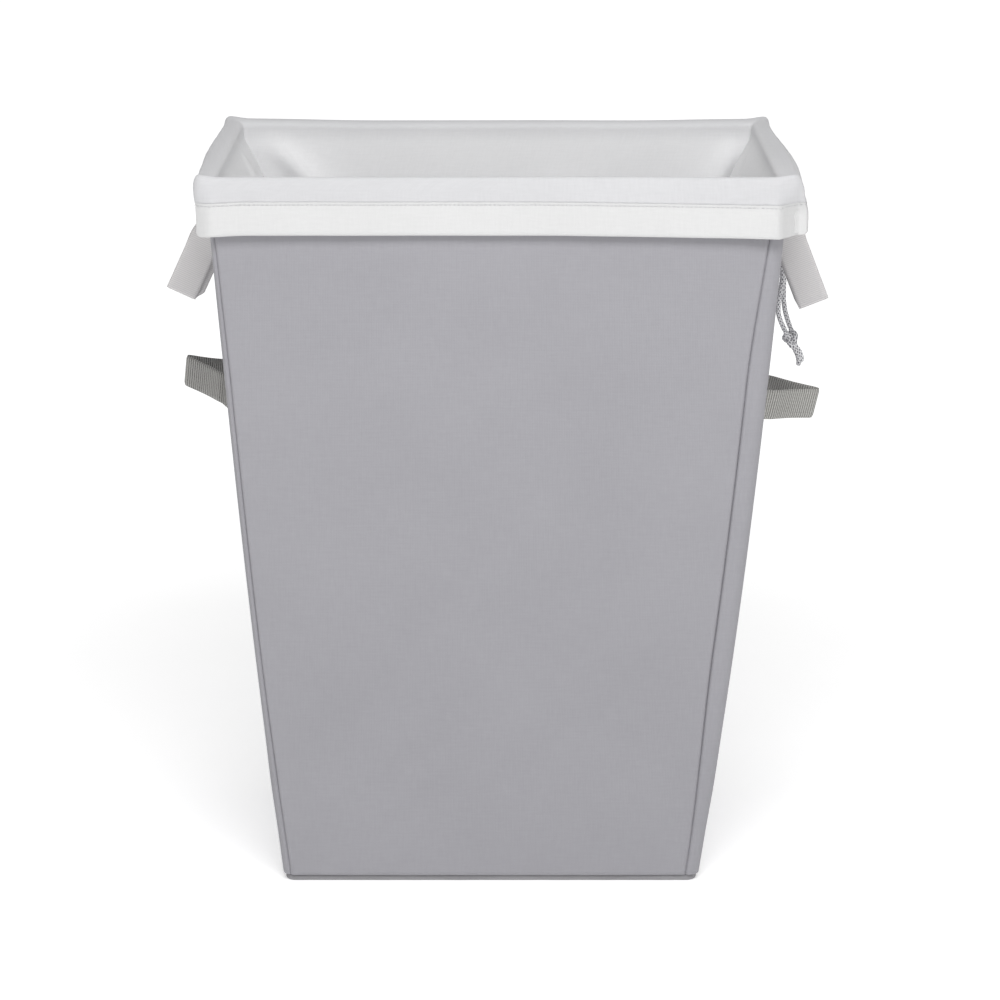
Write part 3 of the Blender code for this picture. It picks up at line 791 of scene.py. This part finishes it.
bagShape = {
    "cloth": 0.6 * mm,
    "insideRows": 84,
    "crownRows": 18,
    "bulgeRow": 92,             # above this row the cloth is loose enough to bulge and wave
    "depth": 7.3 * mm,          # from the outside of the cover in to the middle of the bag's cloth
    "innerCorner": 3 * mm,
    "outerCorner": 5 * mm,
    "crownDrop": 11 * mm,       # how far down each side the top of the fold reaches
    "crownPeak": 0.78,          # where the fold is highest, from its inner side to its outer
    "crownRise": 0.4 * mm,      # how far the highest line stands above the box's binding
    # the front corners turn back early: how far in from the side that starts, and how far back it goes
    "slant": {"left": (11 * mm, 9 * mm), "right": (15 * mm, 24 * mm)},
    "hangRight": 1.2 * mm,      # the cuff's lower edge hangs a little to the right
    # the right front corner is fuller: middle and half width across and along, and how far
    "full": ((0.228, 0.03), (-0.125, 0.07), 5.0 * mm),
    # the hem's lower edge sags to each side: where it starts, how soon it is whole, and how far
    "sag": {"right": (0.02, 0.22, 2.6 * mm), "left": (0.19, 0.04, 1.6 * mm)},
    # the sides of the rim bulge outwards: middle of the bulge, half width and how far
    "rimBulge": {"left": (0.015, 0.115, 5.5 * mm), "right": (-0.030, 0.095, 8.0 * mm)},
    "cornerPeak": 2.5 * mm,     # how far the rim's corners stand up and out
    "rearRise": (1.6 * mm, 1.2 * mm),  # the rim's rear corners stand higher, left and right
    "slack": {"left": 20 * mm, "right": 20 * mm, "front": 4 * mm, "rear": 5 * mm},
    # folds at the cuff's right front corner: across and up at both ends, half width and height
    "creases": [((0.229, 0.585), (0.160, 0.566), 1.8 * mm, 1.1 * mm),
                ((0.229, 0.583), (0.180, 0.556), 1.6 * mm, -1.0 * mm),
                ((0.230, 0.580), (0.200, 0.548), 2.0 * mm, 1.3 * mm),
                ((0.230, 0.576), (0.214, 0.543), 1.8 * mm, -1.1 * mm)],
    # folds inside the bag, on the wall named: across and up at both ends, half width and height
    "folds": [("rear", (-0.208, 0.590), (-0.120, 0.496), 8.0 * mm, 8.0 * mm),
              ("rear", (-0.175, 0.560), (-0.090, 0.470), 15 * mm, 2.6 * mm),
              ("rear", (0.212, 0.590), (0.158, 0.480), 9 * mm, 8.0 * mm),
              ("rear", (0.040, 0.560), (0.100, 0.300), 26 * mm, 2.0 * mm),
              ("rear", (-0.060, 0.520), (-0.020, 0.250), 24 * mm, 2.0 * mm),
              ("left", (0.075, 0.582), (0.010, 0.480), 8.0 * mm, 3.6 * mm),
              ("left", (-0.020, 0.580), (-0.070, 0.480), 10.0 * mm, 2.6 * mm),
              ("left", (-0.060, 0.560), (-0.030, 0.300), 18 * mm, 2.4 * mm),
              ("right", (0.115, 0.575), (0.050, 0.480), 3.5 * mm, 1.8 * mm),
              ("right", (0.090, 0.570), (0.020, 0.500), 3.5 * mm, -1.4 * mm),
              ("right", (-0.030, 0.560), (0.010, 0.300), 18 * mm, 2.4 * mm),
              ("front", (-0.100, 0.540), (-0.050, 0.250), 24 * mm, 2.2 * mm),
              ("front", (0.120, 0.540), (0.050, 0.300), 20 * mm, 2.2 * mm)],
}


# Rows from the bag's bottom up the inside, over the rim and down to the stitch line, each a half
# width, half depth, corner radius, height and the part of the bag that it is in
def cuffPath():
    path = []
    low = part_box("bag_front")[0].z
    topZ = cuffHigh.z - bagShape["cloth"] / 2
    depth, drop = bagShape["depth"], bagShape["crownDrop"]
    inner, outer = bagShape["innerCorner"], bagShape["outerCorner"]
    crownLow = topZ - drop
    insideRows, crownRows = bagShape["insideRows"], bagShape["crownRows"]
    for j in range(insideRows + 1):
        z = low + (crownLow - low) * j / insideRows
        halfX, halfY = wallHalf(z)
        path.append((halfX - depth, halfY - depth, inner, z, "inside"))
    halfX, halfY = wallHalf(crownLow)
    outX, outY = cuffHigh.x - bagShape["cloth"] / 2, cuffHigh.y - bagShape["cloth"] / 2
    inX, inY = halfX - depth, halfY - depth
    peak = bagShape["crownPeak"]
    for k in range(1, crownRows + 1):
        turn = math.pi * k / crownRows
        across = 0.5 - 0.5 * math.cos(turn)
        # a long slope up from the inside, then a tight turn down over the outer edge
        lean = across / peak if across < peak else (1 - across) / (1 - peak)
        rise = (1 - (1 - lean) ** 2) ** (0.2 if across < peak else 0.6)
        high = drop * min(1.0, rise) + bagShape["crownRise"] * smoothStep(lean)
        path.append((inX + (outX - inX) * across, inY + (outY - inY) * across,
                     inner + (outer - inner) * across, crownLow + high, "crown"))
    stitchZ = hemHigh.z - 0.6 * mm
    for k in range(1, 6):
        z = crownLow + (stitchZ - crownLow) * k / 5
        path.append((outX, outY, outer, z, "cuff"))
    return path


# How far the cuff's lower edge hangs below its mean line
def hemDrop(point):
    start, reach, deep = bagShape["sag"]["right" if point.x > 0 else "left"]
    return -deep * smoothStep((abs(point.x) - start) / reach)


# 1 at the rim's corners, falling to 0 at the reach along both sides
def nearCorner(point, reach):
    away = math.hypot(cuffHigh.x - abs(point.x), cuffHigh.y - abs(point.y))
    return smoothStep(1 - away / reach)


# Small folds that fan out from the right front corner of the cuff
def cornerCreases(point):
    height = 0.0
    for start, end, width, tall in bagShape["creases"]:
        along, aside = besideLine(point.x, point.z, start, end)
        ends = smoothStep(along / 0.2) * smoothStep((1 - along) / 0.5)
        height += tall * ends * hump(aside, 0, width)
    return height


# The rim's front corners are cut off by a slanting face
def slantCorner(point, strength):
    start, back = bagShape["slant"]["right" if point.x > 0 else "left"]
    share = min(1.0, max(0.0, (abs(point.x) - cuffHigh.x + start) / start))
    line = -cuffHigh.y + back * share
    if point.y < line:
        point.y += (line - point.y) * 0.88 * strength * smoothStep(share / 0.1)
    return point


# Softness of the turned-over cloth: waves, and a fuller right front corner
def cuffShift(point, normal, strength):
    wave = 0.8 * mm * noise.noise(Vector((point.x * 14, point.y * 14, point.z * 9)))
    wave += 0.35 * mm * noise.noise(Vector((point.x * 45, point.y * 45, point.z * 20)))
    across, along, swell = bagShape["full"]
    full = hump(point.x, *across) * hump(point.y, *along) * swell
    height = smoothStep((cuffHigh.z - point.z) / (30 * mm))
    middle, half, reach = bagShape["rimBulge"]["right" if point.x > 0 else "left"]
    bulge = reach * abs(normal.x) * hump(point.y, middle, half)
    peak = bagShape["cornerPeak"] * 0.6 * nearCorner(point, 18 * mm) * (1 - height)
    creases = cornerCreases(point) * max(0.0, -normal.y)
    moved = point + normal * strength * (wave + full * height + bulge + peak + creases)
    moved.x += bagShape["hangRight"] * strength * height
    return slantCorner(moved, strength * (0.25 + 0.75 * height))


# Soft ridges of slack cloth inside the bag
def foldHeight(point, normal):
    height = 0.0
    for wall, start, end, width, tall in bagShape["folds"]:
        facing = {"front": -normal.y, "rear": normal.y, "left": -normal.x, "right": normal.x}[wall]
        if facing < 0.3:
            continue
        across = point.x if wall in ("front", "rear") else point.y
        along, aside = besideLine(across, point.z, start, end)
        ends = smoothStep(along / 0.2) * smoothStep((1.25 - along) / 0.5)
        height += tall * ends * math.exp(-abs(aside / width) ** 1.6) * smoothStep((facing - 0.3) / 0.4)
    return height


# The walls hang clear of the box below the rim, and come back to it lower down. Each keeps its
# slack almost to its corners, where the cloth folds sharply
def hangingSlack(point, normal, share, depth):
    for wall, facing in (("left", -normal.x), ("right", normal.x), ("front", -normal.y),
                         ("rear", normal.y)):
        if facing > 0.9:
            amount = bagShape["slack"][wall]
            fall = min(1.0, max(0.0, (depth - 8 * mm) / (48 * mm))) ** 0.8
            back = smoothStep((depth - 90 * mm) / (300 * mm))
            rearEnd = share if facing == normal.x else -share
            ends = 1 - smoothStep((rearEnd - 0.86) / 0.13) if rearEnd > 0.5 else 1 - abs(share) ** 26
            rearmost = 0.65 + 0.35 * smoothStep((point.y + 0.05) / 0.15)
            return amount * fall * (1 - 0.8 * back) * ends * rearmost
    return 0.0


def makeBagWalls():
    path = cuffPath()
    lengths = [0.0]
    for a, b in zip(path, path[1:]):
        lengths.append(lengths[-1] + math.hypot(b[0] - a[0], b[3] - a[3]))
    rimZ = cuffHigh.z

    def at(j):
        return *path[j][:4], lengths[j]

    def shift(point, normal, share, j):
        kind = path[j][4]
        if kind == "inside":
            depth = rimZ - point.z
            flat = 1 - share * share
            slack = 1.6 * mm * noise.noise(Vector((point.x * 8 + point.z * 2, point.y * 8, point.z * 3)))
            slack += 0.5 * mm * noise.noise(Vector((point.x * 24, point.y * 24, point.z * 9)))
            inward = (1.2 * mm + slack) * smoothStep(depth / 0.05) * (0.35 + 0.65 * flat)
            inward += foldHeight(point, normal) * smoothStep((depth - 10 * mm) / (22 * mm))
            inward += hangingSlack(point, normal, share, depth)
            point.x += leanAt(point.z, point.x)
            return point - normal * max(0.0, inward)
        strength = 1.0 if kind == "cuff" else smoothStep((j - bagShape["bulgeRow"]) / 10)
        moved = cuffShift(point, normal, strength)
        if kind == "cuff":
            up = (path[j][3] - hemHigh.z) / (rimZ - hemHigh.z)
            moved.z += hemDrop(moved) * (1 - max(0.0, up))
        high = smoothStep((point.z - rimZ + 14 * mm) / (12 * mm))
        moved.z += bagShape["cornerPeak"] * nearCorner(point, 22 * mm) * high
        rise = bagShape["rearRise"][0 if point.x < 0 else 1] * nearCorner(point, 130 * mm)
        moved.z += rise * smoothStep((point.y + 20 * mm) / (160 * mm)) * high
        moved.z += 0.35 * mm * noise.noise(Vector((point.x * 11, point.y * 11, 3.0))) * high
        return moved

    walls = bandRound("bagWalls", len(path) - 1, at, shift, bagShape["cloth"])
    walls.modifiers["thickness"].offset = 0
    dress(walls, "bagCloth", "bag", "bag_cloth", *[f"bag_{side}" for side in bagSides], *cuffNodes)
    narrow, wide = 2 * sum(wallHalf(path[0][3])), 2 * sum(wallHalf(rimZ))
    print("bag walls and cuff made")


def makeBagBottom():
    low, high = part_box("bag_bottom")
    columns, rows = 48, 32

    def place(i, j):
        x = low.x + (high.x - low.x) * i / columns
        y = low.y + (high.y - low.y) * j / rows
        rise = 0.8 * mm * (1 + noise.noise(Vector((x * 14, y * 14, 2.0))))
        edge = min(i, columns - i, j, rows - j)
        rise *= smoothStep(edge / 3)
        return Vector((x + leanAt(0, x), y, (low.z + high.z) / 2 + rise)), (x, y)

    bottom = clothGrid("bagBottom", columns, rows, place, thickness=bagShape["cloth"], offset=0.0)
    dress(bottom, "bagCloth", "bag", "bag_cloth", "bag_bottom")
    print("bag bottom made")


# Room is the cloth round the cord, over how far the band covers the cuff's edge, and the stitches
# run that far below the band's top
hemShape = {"rows": 44, "room": 1.4 * mm, "over": 0.4 * mm, "stitchDown": 3.2 * mm,
            "stitchRadius": 0.20 * mm, "stitchSteps": 620}


# The folded white band below the cuff, a tunnel for the cord
def makeHem():
    rows = hemShape["rows"]
    outerX, outerY = cuffHigh.x, cuffHigh.y
    thick = ringHigh.z - ringLow.z + hemShape["room"]
    top, low = hemHigh.z + hemShape["over"], hemLow.z
    tall = top - low

    def at(j):
        # half the rows run down the outside, half come up the inside
        turn = 2 * j / rows
        inside = turn > 1
        u = turn - 1 if inside else turn
        fall = 0.5 - 0.5 * math.cos(math.pi * (1 - u if inside else u))
        full = thick / 2 * math.sqrt(max(0.0, 1 - (max(0.0, fall - 0.86) / 0.14) ** 2))
        full *= 0.14 + 0.86 * smoothStep(fall / 0.3)
        out = -thick / 2 + (-full if inside else full)
        # the band's sewn top edge lies against the cuff
        out += (thick / 2 - 0.3 * mm) * (1 - smoothStep(fall / 0.3)) * 0.8
        return (outerX + out, outerY + out, bagShape["outerCorner"] + out, top - tall * fall,
                turn * tall)

    def shift(point, normal, share, j):
        moved = cuffShift(point, normal, 1.0)
        moved.z += hemDrop(moved)
        return moved

    hem = bandRound("hemBand", rows, at, shift)
    dress(hem, "hemCloth", "bag", "hem_cloth", *hemNodes, "drawstring_ring")
    stitchLine(outerX, outerY, top - hemShape["stitchDown"])
    print("hem made")


# A line of pale stitches through the top of the hem
def stitchLine(halfX, halfY, level):
    radius = bagShape["outerCorner"]
    whole = outlineMarks(halfX, halfY, radius)[1]
    route, steps = [], hemShape["stitchSteps"]
    for k in range(steps + 1):
        point, normal = outlineAt(halfX, halfY, radius, whole * k / steps)[:2]
        point.z = level
        moved = cuffShift(point, normal, 1.0)
        moved.z += hemDrop(moved)
        route.append(moved + normal * 0.1 * mm)
    sewAlong("hemStitches", route, "paleThread", "bag", "hem_cloth", hemShape["stitchRadius"])


# Braid is the length of one turn of its strands, and radius is measured over their crowns
cordShape = {"diameter": 4.0 * mm, "radius": 2.15 * mm, "sides": 20, "step": 0.45 * mm,
             "braid": 5.2 * mm}
cordLevel = (ringLow.z + ringHigh.z) / 2
# Both free ends, from inside the hem down to the knot, as in the part's own source, in metres
strandRoutes = {
    "frontStrand": [(0.22815, 0.0260, cordLevel), (0.22815, 0.0260, 0.5300),
                    (0.2290, 0.0260, 0.5150), (0.2318, 0.0262, 0.4960), (0.2345, 0.0266, 0.4770),
                    (0.2334, 0.0268, 0.4640), (0.2318, 0.0270, 0.4530), (0.2325, 0.0272, 0.4420),
                    (0.2375, 0.0276, 0.4300)],
    "rearStrand": [(0.22815, 0.0360, cordLevel), (0.22815, 0.0360, 0.5300),
                   (0.2292, 0.0360, 0.5150), (0.2325, 0.0356, 0.4960), (0.2362, 0.0350, 0.4770),
                   (0.2366, 0.0344, 0.4640), (0.2368, 0.0338, 0.4530), (0.2388, 0.0334, 0.4420),
                   (0.2424, 0.0330, 0.4315)],
}


# Even points on a smooth curve through the given ones
def smoothRoute(points, spacing):
    given = [Vector(p) for p in points]
    given = [given[0] * 2 - given[1]] + given + [given[-1] * 2 - given[-2]]
    dense = []
    steps = 24
    for a, b, c, d in zip(given, given[1:], given[2:], given[3:]):
        for step in range(steps):
            t = step / steps
            dense.append(0.5 * (2 * b + (c - a) * t + (2 * a - 5 * b + 4 * c - d) * t ** 2
                                + (3 * b - a - 3 * c + d) * t ** 3))
    dense.append(given[-2])
    length = sum((q - p).length for p, q in zip(dense, dense[1:]))
    pieces = max(2, round(length / spacing))
    route = [dense[0]]
    travelled = 0.0
    for p, q in zip(dense, dense[1:]):
        run = (q - p).length
        while len(route) < pieces and travelled + run >= len(route) * length / pieces:
            share = (len(route) * length / pieces - travelled) / run
            route.append(p.lerp(q, share))
        travelled += run
    route.append(dense[-1])
    return route, length


# A tube round a route, drawn into a braided cord by two opposite sets of strands
def braidedTube(shape, route, radius, braid, taperEnds=0.0):
    sides = cordShape["sides"]
    last = len(route) - 1
    tangents = [(route[min(k + 1, last)] - route[max(k - 1, 0)]).normalized() for k in range(last + 1)]
    side = tangents[0].orthogonal().normalized()
    rings, travelled = [], 0.0
    for k, point in enumerate(route):
        if k:
            travelled += (point - route[k - 1]).length
            side = (side - tangents[k] * side.dot(tangents[k])).normalized()
        rings.append((point, side, tangents[k].cross(side), travelled))

    def place(i, j):
        point, sideways, other, along = rings[j]
        size, ends = radius, min(j, last - j)
        if ends < taperEnds:
            size *= math.sqrt(max(0.05, 1 - (1 - ends / taperEnds) ** 2))
        angle = 2 * math.pi * (i % sides) / sides
        twist = 2 * math.pi * along / braid
        one = abs(math.sin(2 * angle + twist))
        two = abs(math.sin(2 * angle - twist))
        dent = 1 - 0.22 * (1 - max(one, two)) - 0.06 * (1 - min(one, two))
        direction = sideways * math.cos(angle) + other * math.sin(angle)
        return point + direction * size * dent, (i / sides * 2 * math.pi * radius, along)

    addGrid(shape, sides, last, place, wrap=True, caps=True)


def makeCords():
    tubes = {}
    for name, points in strandRoutes.items():
        route, length = smoothRoute(points, cordShape["step"])
        shape = bmesh.new()
        braidedTube(shape, route, cordShape["radius"], cordShape["braid"])
        bmesh.ops.recalc_face_normals(shape, faces=shape.faces)
        tube = meshPiece(name, shape)
        tubes[name] = (tube, route, length)
    knot = makeKnot()
    front, route, length = tubes["frontStrand"]
    dress(front, "cordYarn", "bag", "cord", "drawstring_front_strand")
    tuple(route[0])
    [tuple(p) for p in route]
    rear, route, length = tubes["rearStrand"]
    dress(rear, "cordYarn", "bag", "cord", "drawstring_rear_strand")
    tuple(route[0])
    [tuple(p) for p in route]
    print("drawstring made")


knotShape = {"centre": (0.2430, 0.0303, 0.4222), "size": 3.9 * mm, "cord": 2.2 * mm, "tail": 21 * mm}


# An overhand knot in both ends together, with two short tails below it
def makeKnot():
    shape = bmesh.new()
    centre = Vector(knotShape["centre"])
    size = knotShape["size"]
    lean = Matrix.Rotation(math.radians(-22), 3, "Y")
    steps = 150
    loop = []
    for k in range(steps + 1):
        a = 2 * math.pi * k / steps
        x = size * (math.sin(a) + 2 * math.sin(2 * a)) / 2.3
        z = size * 1.25 * (math.cos(a) - 2 * math.cos(2 * a)) / 2.3
        y = -size * math.sin(3 * a) * 0.62
        loop.append(centre + lean @ Vector((x, y, z)))
    braidedTube(shape, loop, knotShape["cord"], cordShape["braid"])
    tails = [[(0.2440, 0.0288, 0.4195), (0.2462, 0.0284, 0.4140), (0.2488, 0.0282, 0.4085),
              (0.2498, 0.0282, 0.4030), (0.2490, 0.0282, 0.4000)],
             [(0.2452, 0.0322, 0.4200), (0.2478, 0.0322, 0.4150), (0.2510, 0.0324, 0.4100),
              (0.2524, 0.0326, 0.4055), (0.2516, 0.0326, 0.4020)]]
    # both ends run on into the knot
    into = [[(0.2375, 0.0276, 0.4300), (0.2392, 0.0282, 0.4272), (0.2412, 0.0292, 0.4240),
             (0.2432, 0.0300, 0.4215)],
            [(0.2424, 0.0330, 0.4315), (0.2436, 0.0326, 0.4285), (0.2442, 0.0318, 0.4250),
             (0.2440, 0.0306, 0.4220)]]
    for tail in tails + into:
        route = smoothRoute(tail, cordShape["step"])[0]
        braidedTube(shape, route, cordShape["radius"], cordShape["braid"], taperEnds=3)
    bmesh.ops.recalc_face_normals(shape, faces=shape.faces)
    knot = meshPiece("drawstringKnot", shape)
    return dress(knot, "cordYarn", "bag", "cord", "drawstring_knot")


# Webbing through a list of frames: centre, direction across it and direction out of its face, with
# cross ribs standing on both faces
def webbingStrip(name, frames, width, thickness, rib, ribDepth, across=10):
    lengths = [0.0]
    for a, b in zip(frames, frames[1:]):
        lengths.append(lengths[-1] + (b[0] - a[0]).length)
    aroundIt = 2 * across + 2
    half = thickness / 2

    def place(i, j):
        centre, sideways, facing = frames[j]
        i = i % aroundIt
        upper = i <= across
        u = -1 + 2 * (i if upper else aroundIt - 1 - i) / across
        edge = math.sqrt(max(0.0, 1 - (max(0.0, abs(u) - 0.9) / 0.1) ** 2)) * 0.75 + 0.25
        lift = ribDepth * (0.5 + 0.5 * math.cos(2 * math.pi * lengths[j] / rib))
        out = (half + lift) * edge * (1 if upper else -1)
        return centre + sideways * u * width / 2 + facing * out, (lengths[j], (u + 1) * width / 2)

    shape = bmesh.new()
    addGrid(shape, aroundIt, len(frames) - 1, place, wrap=True, caps=True)
    bmesh.ops.recalc_face_normals(shape, faces=shape.faces)
    return meshPiece(name, shape)


# A smooth flat path at even steps through a few points
def evenPath(points, spacing):
    return smoothRoute([(x, y, 0) for x, y in points], spacing)[0]


handleShape = {
    "width": 25 * mm, "thickness": 1.4 * mm, "rib": 2.1 * mm,
    # out from the wall and along it, from the sewn end to the fold
    "half": [(1.1 * mm, 60 * mm), (1.1 * mm, 50 * mm), (1.2 * mm, 41 * mm), (3.0 * mm, 36.2 * mm),
             (8.0 * mm, 34.4 * mm), (14 * mm, 33.3 * mm), (20.5 * mm, 30 * mm),
             (27.5 * mm, 23.5 * mm), (35 * mm, 16.5 * mm), (43 * mm, 10.5 * mm),
             (50 * mm, 6.0 * mm), (53.5 * mm, 3.0 * mm)],
    "fold": 54.5 * mm,
    # how far down it points and its face leans, in degrees, how long and wide its loop is against
    # the half above, its finish, the height of its ribs, and how far its ends stand off the wall
    # the left handle takes the webbing painted darker, as painted shade
    "left": {"dip": -16.5, "tilt": -6.0, "stretch": 0.93, "spread": 0.8, "finish": "shadedLeftWebbing",
             "rib": 0.5 * mm, "proud": 0.8 * mm},
    "right": {"dip": 7.0, "tilt": 13.0, "stretch": 1.05, "spread": 0.85, "finish": "handleWebbing",
              "rib": 0.3 * mm, "proud": 0.2 * mm},
    "sewn": 2 * mm,   # closer to the wall than this, the webbing lies flat on it
    "near": 8 * mm,   # and the loop's stretch starts here
    "stitchBox": (43 * mm, 58 * mm, 10 * mm),  # near end, far end and half height
}


def makeHandle(side):
    name = "left" if side < 0 else "right"
    spec = handleShape[name]
    pivot = pivotOf(name + "_handle_swing")
    wallDip = math.atan2(coverHigh.x - baseX, coverHigh.z)
    half = handleShape["half"]
    points = [(x, -y) for x, y in half] + [(handleShape["fold"], 0)] + [(x, y) for x, y in half[::-1]]
    near, sewn = handleShape["near"], handleShape["sewn"]
    points = [(x if x < near else near + (x - near) * spec["stretch"],
               y * (1 + (spec["spread"] - 1) * smoothStep((x - sewn) / (12 * mm))))
              for x, y in points]
    route = evenPath(points, handleShape["rib"] / 6)
    flip = Matrix.Rotation(0 if side > 0 else math.pi, 3, "Z")
    bow = hamperShape["sideBow"] * bowAt(pivot.z) + spec["proud"]
    frames = []
    for k, place in enumerate(route):
        ahead = (route[min(k + 1, len(route) - 1)] - route[max(k - 1, 0)]).normalized()
        facing = Vector((ahead.y, -ahead.x, 0))
        free = smoothStep((place.x - sewn) / (16 * mm))
        dip = wallDip + (math.radians(spec["dip"]) - wallDip) * free
        tilt = wallDip + (math.radians(spec["tilt"]) - wallDip) * free
        turn = Matrix.Rotation(dip, 3, "Y")
        lay = Matrix.Rotation(tilt, 3, "Y")
        out = place + Vector((bow * (1 - smoothStep(place.x / (30 * mm))), 0, 0))
        centre = pivot + flip @ (turn @ out)
        frames.append((centre, flip @ (lay @ Vector((0, 0, 1))), flip @ (turn @ facing)))
    strip = webbingStrip(name + "HandleWebbing", frames, handleShape["width"],
                         handleShape["thickness"], handleShape["rib"], spec["rib"])
    dress(strip, spec["finish"], None, "handle_webbing", name + "_handle",
          name + "_handle_front_tab", name + "_handle_rear_tab")
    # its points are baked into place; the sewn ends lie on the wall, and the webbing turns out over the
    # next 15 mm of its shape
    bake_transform(strip)
    sewTabs(name, route, frames, handleShape["thickness"] / 2 + spec["rib"])
    print(name, "handle made")


# A box with a cross in it, sewn through the webbing at each end of a handle
def sewTabs(name, route, frames, proud):
    near, far, half = handleShape["stitchBox"]

    def spot(along, up):
        k = min(range(len(route)), key=lambda n: abs(route[n].y - along) + (route[n].x > 5 * mm))
        centre, sideways, facing = frames[k]
        return centre + sideways * up + facing * proud

    for end, sign in (("Front", -1), ("Rear", 1)):
        corners = [(near, -half), (near, half), (far, half), (far, -half), (near, -half), (far, half),
                   (far, -half), (near, half)]
        path = []
        for (a, low), (b, high) in zip(corners, corners[1:]):
            path += [spot(sign * (a + (b - a) * t / 12), low + (high - low) * t / 12) for t in range(12)]
        sewAlong(name + end + "BoxStitch", path, "paleThread", "hamper", "handle_webbing")


strapShape = {
    "width": 25.5 * mm, "thickness": 1.1 * mm, "rib": 1.6 * mm, "ribDepth": 0.06 * mm,
    "inHem": 2.5 * mm, "leanOver": 45 * mm,   # it starts this far up the hem, and bends over that
    "rootApart": 0.75 * mm, "apart": 2.6 * mm,  # half the gap between its legs, sewn and free
    # its lean in degrees at the root and at the fold, how far the rear leg swings in behind the
    # front one, and the length over which it turns edge on to the wall
    "left": {"rootLean": 11.0, "lean": 25.0, "length": 82 * mm, "skew": 4.5 * mm, "twist": 46 * mm},
    "right": {"rootLean": 14.0, "lean": 21.5, "length": 90 * mm, "skew": 1.0 * mm, "twist": 39 * mm},
}


def makeStrap(side):
    name = "left" if side < 0 else "right"
    spec = strapShape[name]
    pivot = pivotOf(name + "_strap_swing")
    step = strapShape["rib"] / 4
    total = spec["length"]
    count = round(total / step)
    spine = []
    place = Vector((0, 0, strapShape["inHem"]))
    for k in range(count + 1):
        s = k * step
        bend = smoothStep(s / strapShape["leanOver"])
        lean = math.radians(spec["rootLean"] + (spec["lean"] - spec["rootLean"]) * bend)
        along = Vector((math.sin(lean), 0, -math.cos(lean)))
        inPlane = Vector((math.cos(lean), 0, math.sin(lean)))
        twist = math.pi / 2 * smoothStep(s / spec["twist"])
        sideways = Vector((0, 1, 0)) * math.cos(twist) + inPlane * math.sin(twist)
        facing = inPlane * math.cos(twist) - Vector((0, 1, 0)) * math.sin(twist)
        loose = smoothStep((s - 6 * mm) / (30 * mm))
        apart = strapShape["rootApart"] + (strapShape["apart"] - strapShape["rootApart"]) * loose
        # the legs draw together round the fold
        left = total - s
        if left < strapShape["apart"]:
            apart *= math.sqrt(max(0.0, 1 - (1 - left / strapShape["apart"]) ** 2))
        spine.append((place.copy(), sideways, facing, apart))
        place += along * step
    frames = [(centre + facing * apart, sideways, facing) for centre, sideways, facing, apart in spine]
    for k, (centre, sideways, facing, apart) in reversed(list(enumerate(spine[:-1]))):
        s = k * step
        skew = spec["skew"] * smoothStep((s - 24 * mm) / (30 * mm)) * smoothStep((total - s) / (9 * mm))
        frames.append((centre - facing * apart - sideways * skew, sideways, -facing))
    # face directions follow the strip round the fold
    smoothFrames = []
    for k, (centre, sideways, facing) in enumerate(frames):
        ahead = frames[min(k + 1, len(frames) - 1)][0] - frames[max(k - 1, 0)][0]
        out = ahead.cross(sideways).normalized()
        if out.dot(facing) < 0 and abs(k - len(spine)) > 12:
            out = -out
        smoothFrames.append([centre, sideways, out])
    for k in range(1, len(smoothFrames)):
        if smoothFrames[k][2].dot(smoothFrames[k - 1][2]) < 0:
            smoothFrames[k][2] = -smoothFrames[k][2]
    mirror = Matrix.Scale(-1, 3, Vector((1, 0, 0))) if side < 0 else Matrix.Identity(3)
    placed = [(pivot + mirror @ c, mirror @ s, mirror @ f) for c, s, f in smoothFrames]
    strip = webbingStrip(name + "StrapWebbing", placed, strapShape["width"], strapShape["thickness"],
                         strapShape["rib"], strapShape["ribDepth"])
    dress(strip, "strapWebbing", None, "strap_webbing", name + "_strap",
          name + "_strap_front_root", name + "_strap_rear_root")
    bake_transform(strip)
    print(name, "strap made")


makeCamera()
makeCords()
makeLights()
makeFloor()
makeShell()
makeLayers()
makeBaseLayers()
makeWelt()
makeBinding()
makeBagWalls()
makeBagBottom()
makeHem()
makeHandle(-1)
makeHandle(1)
makeStrap(-1)
makeStrap(1)
